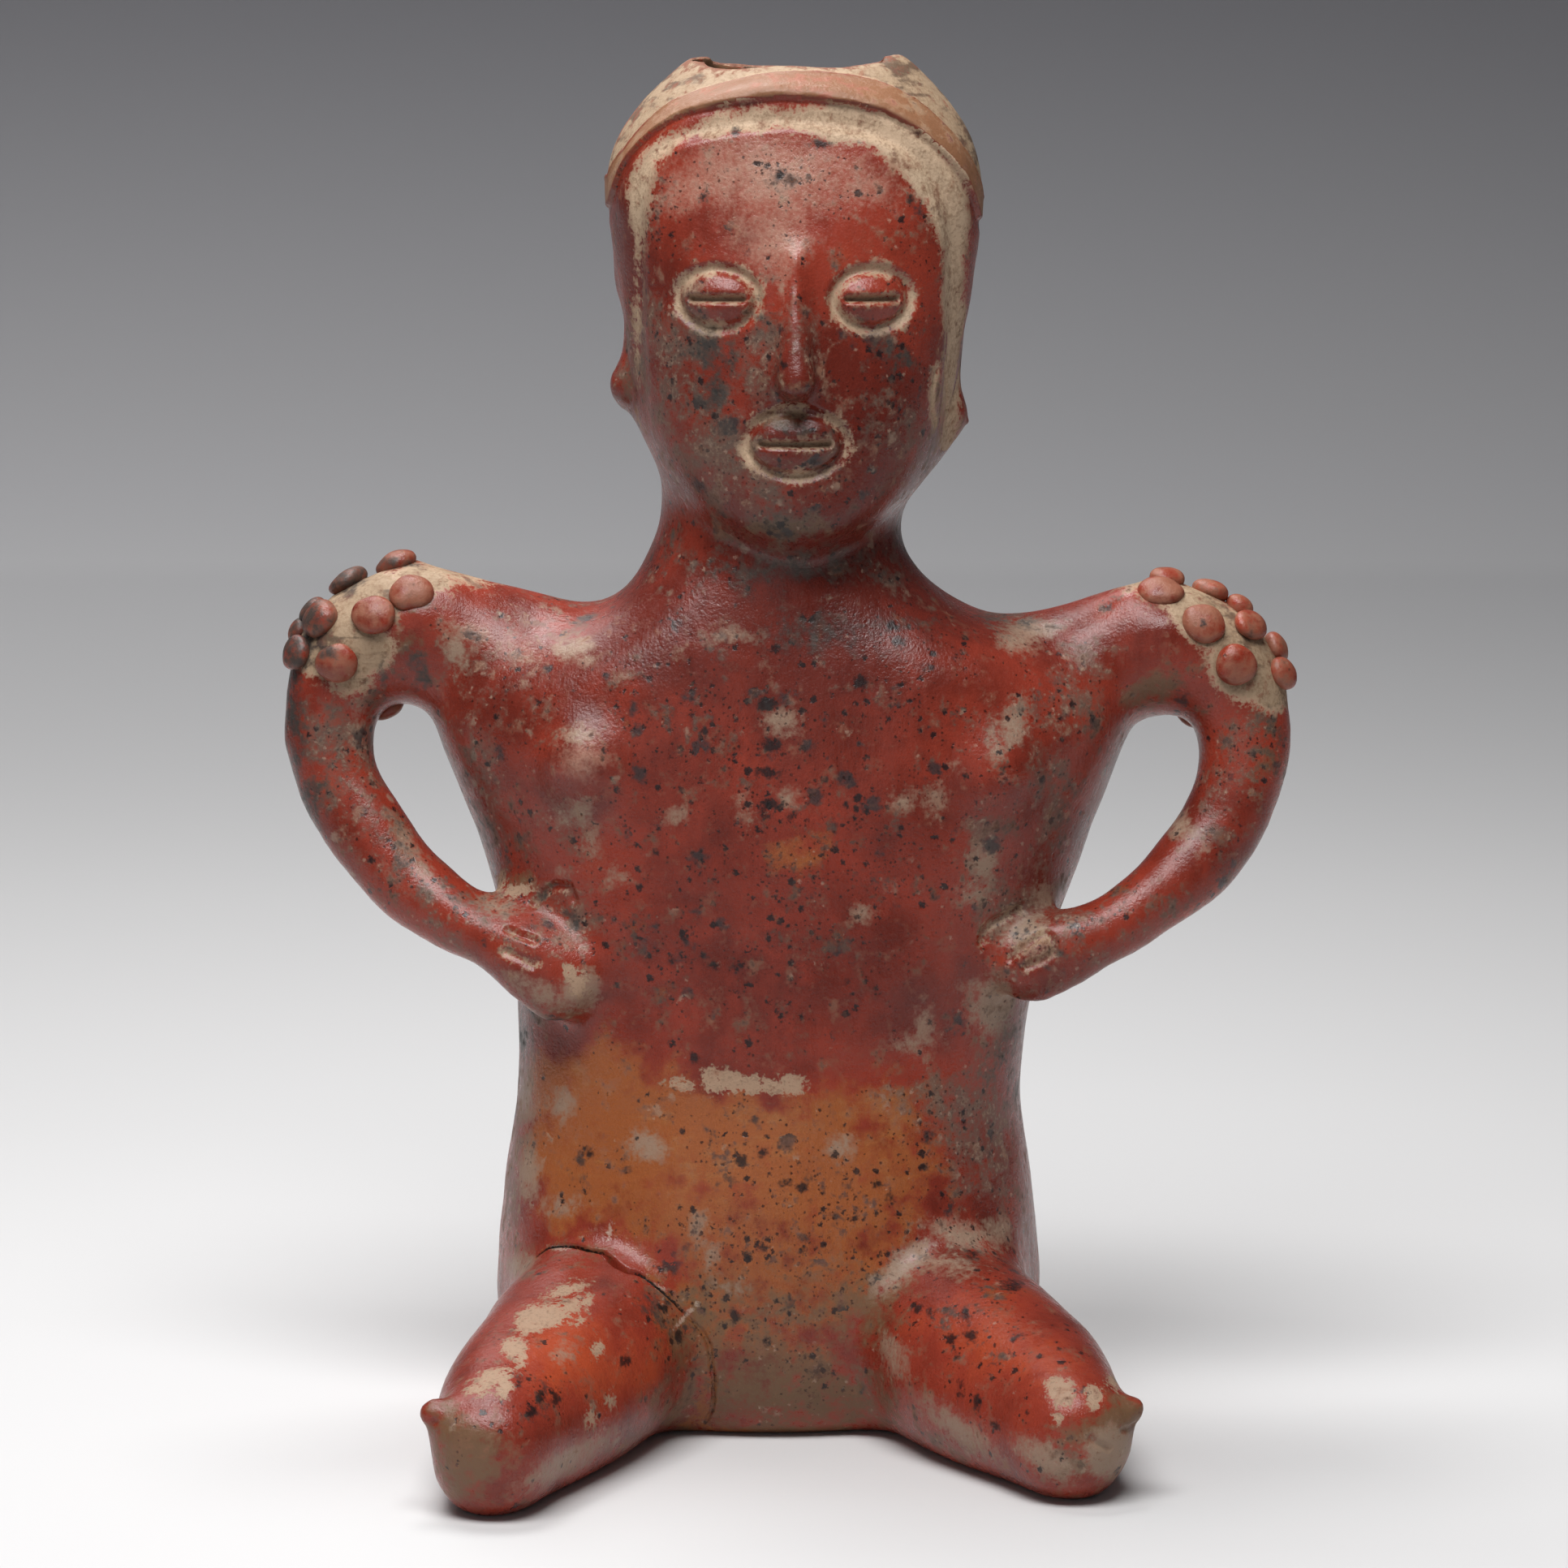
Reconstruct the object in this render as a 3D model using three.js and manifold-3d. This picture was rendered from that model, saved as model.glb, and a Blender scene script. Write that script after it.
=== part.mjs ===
// A seated figure of red-slipped earthenware, hollow built like a vessel, with its mouth at the
// crown of the head. Millimetres, +Z up. The figure faces -Y, so its right side is on -X.

import * as THREE from 'three';
import { mergeVertices } from 'three/addons/utils/BufferGeometryUtils.js';
import Module from 'manifold-3d';

// Driving dimensions
const height = 380; // floor to the highest point of the rim
const wall = 7; // thickness of the fired clay
const pelletDiameter = 11; // clay pellets pressed onto the shoulders
const pelletRise = 3.4; // how far a pellet stands out
const bandWidth = 10; // headband, across its two cords
const grooveWidth = 2.4; // round tool that drew the rings, the slits and the fingers

// The pose, proportions and carving are shares of the height, written in hundredths of it.
const share = height / 100;
const scaled = (values) => values.map((value) => value * share);

// Body from the seat to inside the head: [up, lean to the left, half width, depth in front, behind]
const bodyLevels = [
  [0, -1.2, 17.8, 13.3, 13.6],
  [2.1, -1.2, 19.3, 14.6, 15],
  [7.1, -1.2, 20.4, 15.3, 16.3],
  [14.5, -1.2, 20, 14.7, 15.3],
  [24, -1.1, 18.8, 12.7, 12.8],
  [31, -0.7, 19.4, 12.4, 12.4],
  [38.2, -0.2, 21.3, 12.4, 12.4],
  [46.6, 0, 24.1, 12.6, 12.1],
  [50.5, 0, 25.8, 12.2, 11.8],
  [53.2, 0, 26.6, 11.8, 11.5],
  [55.6, 0, 24, 11.3, 11.1],
  [58, -0.1, 17.2, 10.8, 10.6],
  [60, -0.3, 12.8, 10.2, 10.1],
  [62.6, -0.4, 9.9, 9.5, 9.5],
  [66.1, -0.3, 8.9, 8.7, 8.9],
  [72.4, 0, 8.7, 8.7, 8.9],
];

// Head from under the chin to the rim of the mouth, in the same five numbers
const headLevels = [
  [64.2, 0.8, 3.7, 10, 4.7],
  [65.8, 0.8, 6.4, 12.1, 6.6],
  [67.9, 0.8, 8.8, 13, 7.9],
  [71.1, 0.8, 10.6, 13.4, 8.9],
  [75, 0.8, 11.7, 13.4, 10.3],
  [80.3, 0.8, 12.5, 13.2, 11.3],
  [85.5, 0.8, 13.4, 12.8, 11.7],
  [89.5, 0.8, 13.9, 12.1, 11.3],
  [92.4, 0.8, 13.7, 11.3, 10.5],
  [95, 0.8, 12.6, 10.3, 9.2],
  [97.4, 0.8, 10.8, 8.8, 7.9],
  [98.9, 0.8, 8.5, 7.1, 6.6],
  [100, 0.8, 7.8, 6.6, 6.3],
];
const rimDip = 0.7; // the rim is lower at the front and the back than at its two sides
const rimDipStart = 0.94; // the share of the form's height from which the dip grows

// Limbs: [x, y, z, radius toward the front or the top, radius across it]
const rightArmStations = [
  [-7.9, 0.5, 54.1, 5.8, 5.3],
  [-16.3, 0.5, 54.9, 5.8, 5.1],
  [-23.7, 0.3, 56.8, 5.3, 5],
  [-28.7, -0.3, 57.7, 4.9, 5],
  [-32, -0.8, 55.8, 4.3, 4.5],
  [-33.7, -1.3, 51.8, 3.7, 3.7],
  [-33.1, -2.1, 47.1, 3.3, 3.3],
  [-30.2, -3.2, 42.4, 3.2, 3.1],
  [-27.2, -4.7, 39.3, 3.1, 2.9],
  [-24.1, -6.3, 37.5, 2.9, 2.8],
  [-21, -7.9, 36.1, 2.9, 2.8],
  [-18.1, -9.1, 34.6, 2.5, 3.3],
  [-15.4, -10, 32.6, 1.8, 3.2],
];
const leftArmStations = [
  [7.9, 0.5, 53.9, 5.8, 5.3],
  [17.4, 0.5, 54.1, 5.8, 5],
  [24.2, 0.3, 55.6, 5.3, 5],
  [29.2, -0.3, 56.6, 4.9, 4.9],
  [32.8, -0.8, 54.6, 4.2, 4.2],
  [34.2, -1.3, 50.7, 3.7, 3.7],
  [33.3, -2.1, 45.8, 3.5, 3.3],
  [31.5, -3.2, 42.5, 3.3, 3.2],
  [29, -4.5, 39.9, 3.2, 3],
  [26.2, -6.1, 38, 3, 2.8],
  [23.2, -7, 36.3, 2.9, 2.7],
  [20.1, -8, 35.1, 2.6, 3.1],
  [17.2, -8.6, 33.5, 2, 3],
];
const rightLegStations = [
  [-11.1, -2.6, 6.3, 8.4, 7.9],
  [-13.7, -11.8, 6.3, 7.9, 7.9],
  [-17, -21.1, 5.2, 7, 7],
  [-19.6, -29.5, 4.5, 5.5, 5.2],
  [-20.6, -33.7, 4.2, 4.8, 4.5],
];
const leftLegStations = [
  [9.5, -2.6, 6.3, 8.4, 7.9],
  [12.5, -11.8, 6.3, 7.9, 7.9],
  [16.4, -19.7, 5.2, 7, 7],
  [19.4, -26.3, 4.5, 5.5, 5.2],
  [20.5, -29.7, 4.2, 4.8, 4.5],
];

// Ears, flaps that widen downward into a lobe
const rightEarStations = [
  [-12, 0.8, 84.2, 1.6, 0.7],
  [-11.2, 0.5, 80.8, 2.1, 0.8],
  [-10.9, 0, 77.9, 2.5, 1],
  [-11.5, -0.3, 75.7, 2.2, 1.3],
];
const leftEarStations = [
  [12.9, 0.8, 82.6, 1.6, 0.7],
  [12.4, 0.5, 78.9, 2.1, 0.8],
  [12, 0, 75.8, 2.6, 1],
  [12.3, -0.3, 72.9, 2.4, 1.4],
];

const quarterTurn = Math.PI / 2;
const radians = THREE.MathUtils.degToRad;
const front = new THREE.Vector3(0, -1, 0);
const upward = new THREE.Vector3(0, 0, 1);

// The same geometry with every vertex put where `move` says
const reshaped = (geometry, move) => {
  const position = geometry.attributes.position;
  const vertex = new THREE.Vector3();
  for (let i = 0; i < position.count; i += 1) {
    const moved = move(vertex.fromBufferAttribute(position, i));
    position.setXYZ(i, moved.x, moved.y, moved.z);
  }
  return geometry;
};

// A rounded upright form whose cross-section changes from level to level
class UprightForm {
  constructor(levels, squareness, topDip = 0) {
    const inSize = levels.map(scaled);
    this.bottom = inSize[0][0];
    this.top = inSize[inSize.length - 1][0];
    this.squareness = squareness;
    this.topDip = topDip * share;
    const ups = inSize.map(([up]) => up);
    const sizes = inSize.flatMap(([, ...size]) => size);
    this.sizes = new THREE.CubicInterpolant(ups, sizes, 4);
  }

  surface(up, angle) {
    const [lean, halfWidth, depthInFront, depthBehind] = this.sizes.evaluate(up);
    const rounded = (value) => Math.sign(value) * Math.abs(value) ** (2 / this.squareness);
    const depth = Math.sin(angle) < 0 ? depthInFront : depthBehind;
    const nearTop = THREE.MathUtils.smoothstep(up, this.top * rimDipStart, this.top);
    return new THREE.Vector3(
      lean + halfWidth * rounded(Math.cos(angle)),
      depth * rounded(Math.sin(angle)),
      up - this.topDip * nearTop * Math.sin(angle) ** 2,
    );
  }

  // The direction that the surface faces
  facing(up, angle) {
    const step = 0.01;
    const around = this.surface(up, angle + step).sub(this.surface(up, angle - step));
    const rising = this.surface(up + step, angle).sub(this.surface(up - step, angle));
    return around.cross(rising).normalize();
  }

  // A point `across` from the middle of the front, `out` millimetres off the surface
  frontPoint(across, up, out = 0) {
    const [, halfWidth] = this.sizes.evaluate(up);
    const ratio = across / halfWidth;
    const angle = -Math.acos(Math.sign(ratio) * Math.abs(ratio) ** (this.squareness / 2));
    return this.surface(up, angle).addScaledVector(this.facing(up, angle), out);
  }

  // Lays a geometry, drawn flat around its own origin, over the front of the form
  drapeOnFront(geometry, across, up) {
    return reshaped(geometry, ({ x, y, z }) => this.frontPoint(across + x, up + y, z));
  }

  // The solid between two levels, its surface drawn in by `inset`
  solid({ from = this.bottom, to = this.top, inset = 0, around, along }) {
    const drum = new THREE.CylinderGeometry(1, 1, 1, around, along);
    drum.rotateX(quarterTurn).rotateZ(quarterTurn);
    return reshaped(drum, (vertex) => {
      const up = THREE.MathUtils.mapLinear(vertex.z, -0.5, 0.5, from, to);
      const angle = Math.atan2(vertex.y, vertex.x);
      const [lean] = this.sizes.evaluate(up);
      const edge = this.surface(up, angle).addScaledVector(this.facing(up, angle), -inset);
      return new THREE.Vector3(lean, 0, edge.z).lerp(edge, Math.hypot(vertex.x, vertex.y));
    });
  }
}

// A round limb along a smooth line, with rounded ends
class Limb {
  constructor(stations, toward, side = 1) {
    this.spans = stations.length - 1;
    this.toward = toward;
    this.side = side;
    this.line = new THREE.CatmullRomCurve3(stations.map(([x, y, z]) => new THREE.Vector3(x, y, z)));
    this.radii = new THREE.CatmullRomCurve3(
      stations.map(([, , , first, second]) => new THREE.Vector3(first, second, 0)),
    );
  }

  // `place` stations along, `first` and `second` radii from the middle, `past` radii off the end
  point(place, first, second, past = 0) {
    const t = place / this.spans;
    const tangent = this.line.getTangent(t);
    const firstWay = this.toward.clone().projectOnPlane(tangent).normalize();
    const secondWay = firstWay.clone().cross(tangent).multiplyScalar(this.side);
    const radii = this.radii.getPoint(t);
    return this.line
      .getPoint(t)
      .addScaledVector(firstWay, first * radii.x)
      .addScaledVector(secondWay, second * radii.y)
      .addScaledVector(tangent, past * Math.min(radii.x, radii.y));
  }

  solid({ around, stepsPerSpan = 2, roundness = 2, bluntness = 1 }) {
    const half = this.spans / 2;
    const bar = new THREE.CapsuleGeometry(1, this.spans, roundness, around, this.spans * stepsPerSpan);
    return reshaped(bar, (vertex) => {
      const along = THREE.MathUtils.clamp(vertex.y, -half, half);
      return this.point(along + half, vertex.x, vertex.z * this.side, (vertex.y - along) * bluntness);
    });
  }
}

// A round bar of one radius through the given points
const cord = (points, radius, around = 6) =>
  new Limb(points.map((point) => [...point, radius, radius]), front).solid({ around, roundness: 1 });

const ball = (radii, centre) => new THREE.SphereGeometry(1, 8, 6).scale(...radii).translate(...centre);

const wasm = await Module();
wasm.setup();

// The closed solid that a geometry's surface bounds
const toSolid = (geometry) => {
  geometry.deleteAttribute('normal');
  geometry.deleteAttribute('uv');
  const { attributes, index } = mergeVertices(geometry);
  const corners = [];
  for (let i = 0; i < index.count; i += 3) {
    const triangle = [index.getX(i), index.getX(i + 1), index.getX(i + 2)];
    if (new Set(triangle).size === 3) corners.push(...triangle);
  }
  const vertProperties = new Float32Array(attributes.position.array);
  return new wasm.Manifold(new wasm.Mesh({ numProp: 3, vertProperties, triVerts: new Uint32Array(corners) }));
};

const body = new UprightForm(bodyLevels, 2.3);
const head = new UprightForm(headLevels, 2.35, rimDip);
const rightArm = new Limb(rightArmStations.map(scaled), front, -1);
const leftArm = new Limb(leftArmStations.map(scaled), front);

const bulk = [
  body.solid({ around: 26, along: 23 }),
  head.solid({ around: 26, along: 15 }),
  rightArm.solid({ around: 10 }),
  leftArm.solid({ around: 10 }),
  ...[rightLegStations, leftLegStations].map((stations) =>
    new Limb(stations.map(scaled), upward).solid({ around: 12, bluntness: 0.7 }),
  ),
];

// One hollow, from above the seat through the neck to the mouth in the crown
const hollow = [
  body.solid({ from: wall, inset: wall, around: 16, along: 13 }),
  head.solid({ from: head.bottom + 2 * wall, to: head.top + wall, inset: wall, around: 16, along: 8 }),
];

const ears = [rightEarStations, leftEarStations].map((stations) =>
  new Limb(stations.map(scaled), front).solid({ around: 8, stepsPerSpan: 1 }),
);

// Staggered rows of pellets over the outside of a shoulder, from the front to the back
const pelletRows = [20, 62, 104, 146]; // degrees from the front
const firstPelletPlace = 2.5;
const pelletSpacing = 0.62;
const pelletsOn = (arm) =>
  pelletRows.flatMap((degrees, row) => {
    const isShort = row % 2 === 0;
    const angle = radians(degrees);
    return Array.from({ length: isShort ? 3 : 4 }, (_, i) => {
      const place = firstPelletPlace + (i + (isShort ? 0.5 : 0)) * pelletSpacing;
      const seat = arm.point(place, Math.cos(angle), Math.sin(angle));
      const outward = seat.clone().sub(arm.point(place, 0, 0)).normalize();
      return new THREE.SphereGeometry(1, 7, 4)
        .rotateX(quarterTurn)
        .scale(pelletDiameter / 2, pelletDiameter / 2, pelletRise)
        .applyQuaternion(new THREE.Quaternion().setFromUnitVectors(upward, outward))
        .translate(...seat);
    });
  });

// The headband is two cords side by side, arched over the forehead from ear to ear.
// Each place on its upper cord is a turn from the front in degrees, a height and a thickness.
const bandRoute = [[80, 86.2, 0.4], [60, 90.2, 1], [40, 94.3, 1], [20, 97, 1]];
const bandTop = 97.9;
const cordSpacing = 1.6; // in radii, so the two cords press into each other
const cordRadius = bandWidth / (2 + cordSpacing);
const cordSink = 3; // a cord's middle stands off the head by its radius over this
const bandCord = (down) => {
  const half = (side) => bandRoute.map(([turn, ...rest]) => [side * turn, ...rest]);
  const stations = [...half(-1), [0, bandTop, 1], ...half(1).toReversed()];
  return new Limb(
    stations.map(([turn, up, thickness]) => {
      const level = up * share - down;
      const angle = radians(turn) - quarterTurn;
      const radius = thickness * cordRadius;
      const middle = head.surface(level, angle).addScaledVector(head.facing(level, angle), radius / cordSink);
      return [...middle, radius, radius];
    }),
    front,
  ).solid({ around: 6, roundness: 1 });
};
const headband = [0, cordSpacing * cordRadius].map(bandCord);

const breastOut = -1.2; // a breast's middle lies inside the body
const breasts = [[-15, 49], [15.8, 48.2]].map(([across, up]) =>
  ball(scaled([3.2, 2.4, 2.9]), body.frontPoint(...scaled([across, up, breastOut]))),
);
const toes = [[-24, -33.6, 7.3], [24.2, -29.4, 6.5]].map((place) =>
  ball(scaled([1.4, 1.3, 1.1]), scaled(place)),
);

// Nose, a narrow ridge that rises toward its tip: [up, out from the face, radius]
const noseStations = [
  [86.3, 0.2, 0.5],
  [82.4, 0.6, 0.8],
  [78.6, 1.2, 1.3],
  [76.6, 1.4, 1.7],
];
const nose = new Limb(
  noseStations.map(([up, out, radius]) => [
    ...head.frontPoint(...scaled([0, up, out])),
    ...scaled([radius, radius]),
  ]),
  front,
).solid({ around: 8, stepsPerSpan: 1, bluntness: 0.6 });

// Eyes and mouth, each a raised oval with a slit across it and a ring around it
const slitOvals = [
  { across: -5.5, up: 82.9, halfWidth: 2.2, halfHeight: 1.5 },
  { across: 5.5, up: 82.9, halfWidth: 2.2, halfHeight: 1.5 },
  { across: 0, up: 72.6, halfWidth: 3, halfHeight: 1.8 },
];
const ovalRise = 0.8;
const ringGap = 0.6;
const slitLength = 1.5; // in half widths of its oval
const ovals = slitOvals.map(({ across, up, halfWidth, halfHeight }) =>
  head.drapeOnFront(
    new THREE.SphereGeometry(1, 10, 6).scale(...scaled([halfWidth, halfHeight, ovalRise])),
    ...scaled([across, up]),
  ),
);
const rings = slitOvals.map(({ across, up, halfWidth, halfHeight }) => {
  const [ringWidth, ringHeight] = scaled([halfWidth + ringGap, halfHeight + ringGap]);
  const ring = new THREE.TorusGeometry(ringWidth, grooveWidth / 2, 4, 14);
  return head.drapeOnFront(ring.scale(1, ringHeight / ringWidth, 1), ...scaled([across, up]));
});
const slits = slitOvals.map(({ across, up, halfWidth }) => {
  const slit = new THREE.CapsuleGeometry(grooveWidth / 2, slitLength * halfWidth * share, 1, 6, 3);
  return head.drapeOnFront(
    slit.rotateZ(quarterTurn).translate(...scaled([0, 0, ovalRise])),
    ...scaled([across, up]),
  );
});

// Three grooves part the fingers of each hand, drawn along the end of the arm.
const fingerAngles = [-50, -5, 40]; // degrees round the arm
const fingerPlaces = [10.4, 11.2, 12]; // along the arm, counted in its stations
const fingerGrooves = [rightArm, leftArm].flatMap((arm) =>
  fingerAngles.map((degrees) => {
    const angle = radians(degrees);
    const line = fingerPlaces.map((place) => arm.point(place, Math.cos(angle), Math.sin(angle)));
    return cord(line, grooveWidth / 2, 4);
  }),
);

// Everything ends on the floor, so the seat and the legs have flat undersides.
const belowFloor = new THREE.BoxGeometry(height, height, height).translate(0, 0, -height / 2);

const added = [
  ...bulk,
  ...ears,
  ...pelletsOn(rightArm),
  ...pelletsOn(leftArm),
  ...headband,
  ...breasts,
  ...toes,
  nose,
  ...ovals,
];
const removed = [...hollow, ...rings, ...slits, ...fingerGrooves, belowFloor];
const whole = added.map(toSolid).reduce((sum, piece) => sum.add(piece));
const figure = removed.map(toSolid).reduce((rest, cutter) => rest.subtract(cutter), whole);

const { vertProperties, triVerts } = figure.getMesh();
const geometry = new THREE.BufferGeometry();
geometry.setAttribute('position', new THREE.BufferAttribute(vertProperties, 3));
geometry.setIndex(new THREE.BufferAttribute(triVerts, 1));

// The origin is on the floor, under the middle of the figure.
geometry.computeBoundingBox();
const middle = geometry.boundingBox.getCenter(new THREE.Vector3());
geometry.translate(-middle.x, -middle.y, -geometry.boundingBox.min.z);
geometry.computeVertexNormals();

const redSlip = new THREE.MeshStandardMaterial({ color: 0x8a3626, roughness: 0.45, metalness: 0 });
const mesh = new THREE.Mesh(geometry, redSlip);
mesh.name = 'figure';
const part = new THREE.Group();
part.add(mesh);

export default part;
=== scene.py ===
"""Looks for a seated hollow figure of burnished, red-slipped earthenware, 380 mm high.

The figure faces -Y and stands on the floor at z = 0. Lengths are in millimetres and become metres
where a mesh or an object is made. Places that were read off the photograph are in its pixels, and
they are carried to the clay along the camera's own rays.
"""

import math

import bmesh
import bpy
import numpy as np
from mathutils import Matrix, Vector
from mathutils.bvhtree import BVHTree
from mathutils.kdtree import KDTree


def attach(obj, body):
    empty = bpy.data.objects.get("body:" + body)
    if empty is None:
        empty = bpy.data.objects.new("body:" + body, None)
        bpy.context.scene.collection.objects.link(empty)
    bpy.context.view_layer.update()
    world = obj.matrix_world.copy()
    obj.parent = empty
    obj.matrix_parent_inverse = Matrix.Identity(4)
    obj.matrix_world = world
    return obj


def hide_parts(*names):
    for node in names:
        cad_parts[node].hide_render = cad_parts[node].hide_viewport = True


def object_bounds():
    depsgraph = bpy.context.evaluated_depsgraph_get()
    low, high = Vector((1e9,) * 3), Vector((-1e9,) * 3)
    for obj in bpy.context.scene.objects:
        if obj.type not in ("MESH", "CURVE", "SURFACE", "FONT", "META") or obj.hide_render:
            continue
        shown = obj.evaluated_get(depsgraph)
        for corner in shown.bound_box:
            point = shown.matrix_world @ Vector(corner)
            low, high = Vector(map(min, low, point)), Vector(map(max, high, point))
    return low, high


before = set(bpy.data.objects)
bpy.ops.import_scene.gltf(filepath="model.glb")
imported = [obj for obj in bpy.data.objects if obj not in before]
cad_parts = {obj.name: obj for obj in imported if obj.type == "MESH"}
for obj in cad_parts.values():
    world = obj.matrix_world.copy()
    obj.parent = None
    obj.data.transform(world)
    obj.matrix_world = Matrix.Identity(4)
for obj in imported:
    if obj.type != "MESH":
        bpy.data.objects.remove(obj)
cad_low, cad_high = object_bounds()

MM = 0.001  # metres in a millimetre
SCENE = bpy.context.scene

# The camera.
PHOTO_SIDE = 1932  # pixels along each side of the photograph
AIM_PIXEL = (966, 926)  # where the aim shows in the photograph
AIM = Vector((-1.21, 39.19, 185))  # what the camera looks at, in the middle of the chest, in mm
CAMERA_DISTANCE = 1500  # mm, from the aim
CAMERA_RISE = math.radians(8)  # how far the camera looks down
FOCAL_PIXELS = 6551  # the focal length, as pixels of the photograph
SENSOR_WIDTH = 36  # mm

forward = Vector((0, math.cos(CAMERA_RISE), -math.sin(CAMERA_RISE)))
upward = Vector((0, math.sin(CAMERA_RISE), math.cos(CAMERA_RISE)))
rightward = Vector((1, 0, 0))
camera_place = AIM - forward * CAMERA_DISTANCE


def set_camera():
    """Stands the camera where the photograph's was, with its focal length and its framing."""
    lens = bpy.data.cameras.new("camera")
    lens.sensor_width = SENSOR_WIDTH
    lens.lens = FOCAL_PIXELS / PHOTO_SIDE * SENSOR_WIDTH
    lens.shift_x = 0.5 - AIM_PIXEL[0] / PHOTO_SIDE
    lens.shift_y = AIM_PIXEL[1] / PHOTO_SIDE - 0.5
    camera = bpy.data.objects.new("camera", lens)
    camera.matrix_world = Matrix(
        [
            [rightward.x, upward.x, -forward.x, camera_place.x * MM],
            [rightward.y, upward.y, -forward.y, camera_place.y * MM],
            [rightward.z, upward.z, -forward.z, camera_place.z * MM],
            [0, 0, 0, 1],
        ]
    )
    SCENE.collection.objects.link(camera)
    SCENE.camera = camera


def pixel_ray(pixel):
    """The direction in which the camera sees a pixel of the photograph."""
    across = (pixel[0] - AIM_PIXEL[0]) / FOCAL_PIXELS
    up = (AIM_PIXEL[1] - pixel[1]) / FOCAL_PIXELS
    return (forward + rightward * across + upward * up).normalized()


def mm_per_pixel(place):
    """The size of a pixel of the photograph at a place on the figure."""
    return (Vector(place) - camera_place).dot(forward) / FOCAL_PIXELS


# Reading and changing meshes.


def places_of(mesh):
    """The mesh's vertices, in mm."""
    flat = np.empty(len(mesh.vertices) * 3, np.float32)
    mesh.vertices.foreach_get("co", flat)
    return flat.reshape(-1, 3).astype(float) / MM


def normals_of(mesh):
    """The direction that the surface faces at each vertex."""
    flat = np.empty(len(mesh.vertices) * 3, np.float32)
    mesh.vertex_normals.foreach_get("vector", flat)
    return flat.reshape(-1, 3).astype(float)


def edges_of(mesh):
    """Both ends of each edge, once from either end."""
    flat = np.empty(len(mesh.edges) * 2, np.int32)
    mesh.edges.foreach_get("vertices", flat)
    pairs = flat.reshape(-1, 2)
    return np.concatenate([pairs, pairs[:, ::-1]])


def move_to(mesh, places):
    """Puts the mesh's vertices at new places, given in mm."""
    mesh.vertices.foreach_set("co", (places * MM).astype(np.float32).ravel())
    mesh.update()


def object_of(mesh, name):
    """An object at the origin that shows the mesh."""
    piece = bpy.data.objects.new(name, mesh)
    SCENE.collection.objects.link(piece)
    return piece


def finished_mesh(piece, name):
    """The mesh of an object with its modifiers applied. The object itself is removed."""
    graph = bpy.context.evaluated_depsgraph_get()
    mesh = bpy.data.meshes.new_from_object(piece.evaluated_get(graph))
    mesh.name = name
    before = piece.data
    bpy.data.objects.remove(piece)
    bpy.data.meshes.remove(before)
    return mesh


def tree_of(mesh):
    """A search tree of the mesh's faces, in mm."""
    faces = [tuple(face.vertices) for face in mesh.polygons]
    return BVHTree.FromPolygons([Vector(place) for place in places_of(mesh)], faces)


# Smooth ramps.


def rise(values, start, end):
    """0 at start and 1 at end, with an even bend between them."""
    share = np.clip((values - start) / (end - start), 0, 1)
    return share * share * (3 - 2 * share)


def hump(distance, reach):
    """1 at no distance, falling smoothly to 0 at reach."""
    return np.cos(np.clip(np.abs(distance) / reach, 0, 1) * math.pi / 2) ** 2


def blob(places, centre, radii, edge=0.5):
    """1 inside an ellipsoid, falling to 0 outside it over a share of its radius."""
    share = np.linalg.norm((places - np.array(centre)) / np.array(radii), axis=1)
    return 1 - rise(share, 1 - edge / 2, 1 + edge / 2)


def oval_distance(across, up, half_width, half_height):
    """Distance from an oval's line, below zero inside it."""
    share = np.sqrt((across / half_width) ** 2 + (up / half_height) ** 2)
    return (share - 1) * np.hypot(across, up) / np.maximum(share, 1e-6)


# The clay form. Lengths and places are in mm.
GRID = 2.4  # first even grid over the clay
FIGURE_FACES = 197500
INNER_SHARE = 0.94  # share of the faces on the wall's inner side that is taken out
EVEN_WEIGHT = 0.99999  # just under 1, so that faces of one size are left where the form is plain
FINE_WEIGHT = 0.5  # how readily faces are taken out where the relief is fine
SLIVER = 0.02  # edges under this length are closed up
LIP_BOTTOM = 369  # above this height is the worn lip of the open crown
LIP_ZONE = 20  # how far below the lip the outer side has to be told from the inner one
LIP_UPWARD = 0.6  # how far the lip's faces turn up at least
LIP_OUTWARD = 0.3  # how far the outer side's faces turn out at least
LIP_ROUNDS = 5  # how often the lip is smoothed
LIP_SMOOTHING = 0.5
FLOOR_FADE = (0.5, 6)  # the relief fades out between these heights, so that the underside is flat
HEAD_X = 1.83  # the head's upright axis
HEAD_Y = 39.19
HEAD_START = (246, 256)  # the neck becomes the head between these heights
FACE_START = (262, 282)  # the groove beside the face starts between these heights
FRONT_TURN = (0.1, 0.4)  # how far a surface turns forward to count as the front
FRONT_END = (HEAD_Y - 6, HEAD_Y + 10)  # the head's front ends between these depths
HOLLOW_FLOOR = (0, HEAD_Y, 8)
CHIN = (HEAD_X, 5, 252)
NOSE = (HEAD_X, -16, 308)
EARS = [(-43, 38, 304), (49, 38, 304)]
RIGHT_LOBE = (-46, 38, 284)
HANDS = [(-64, 4, 128), (68, 8, 131)]
SHOULDERS = [(-123, 38, 216), (125, 38, 213)]
TOES = [(-92, -91, 27), (91, -74, 25)]
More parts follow.
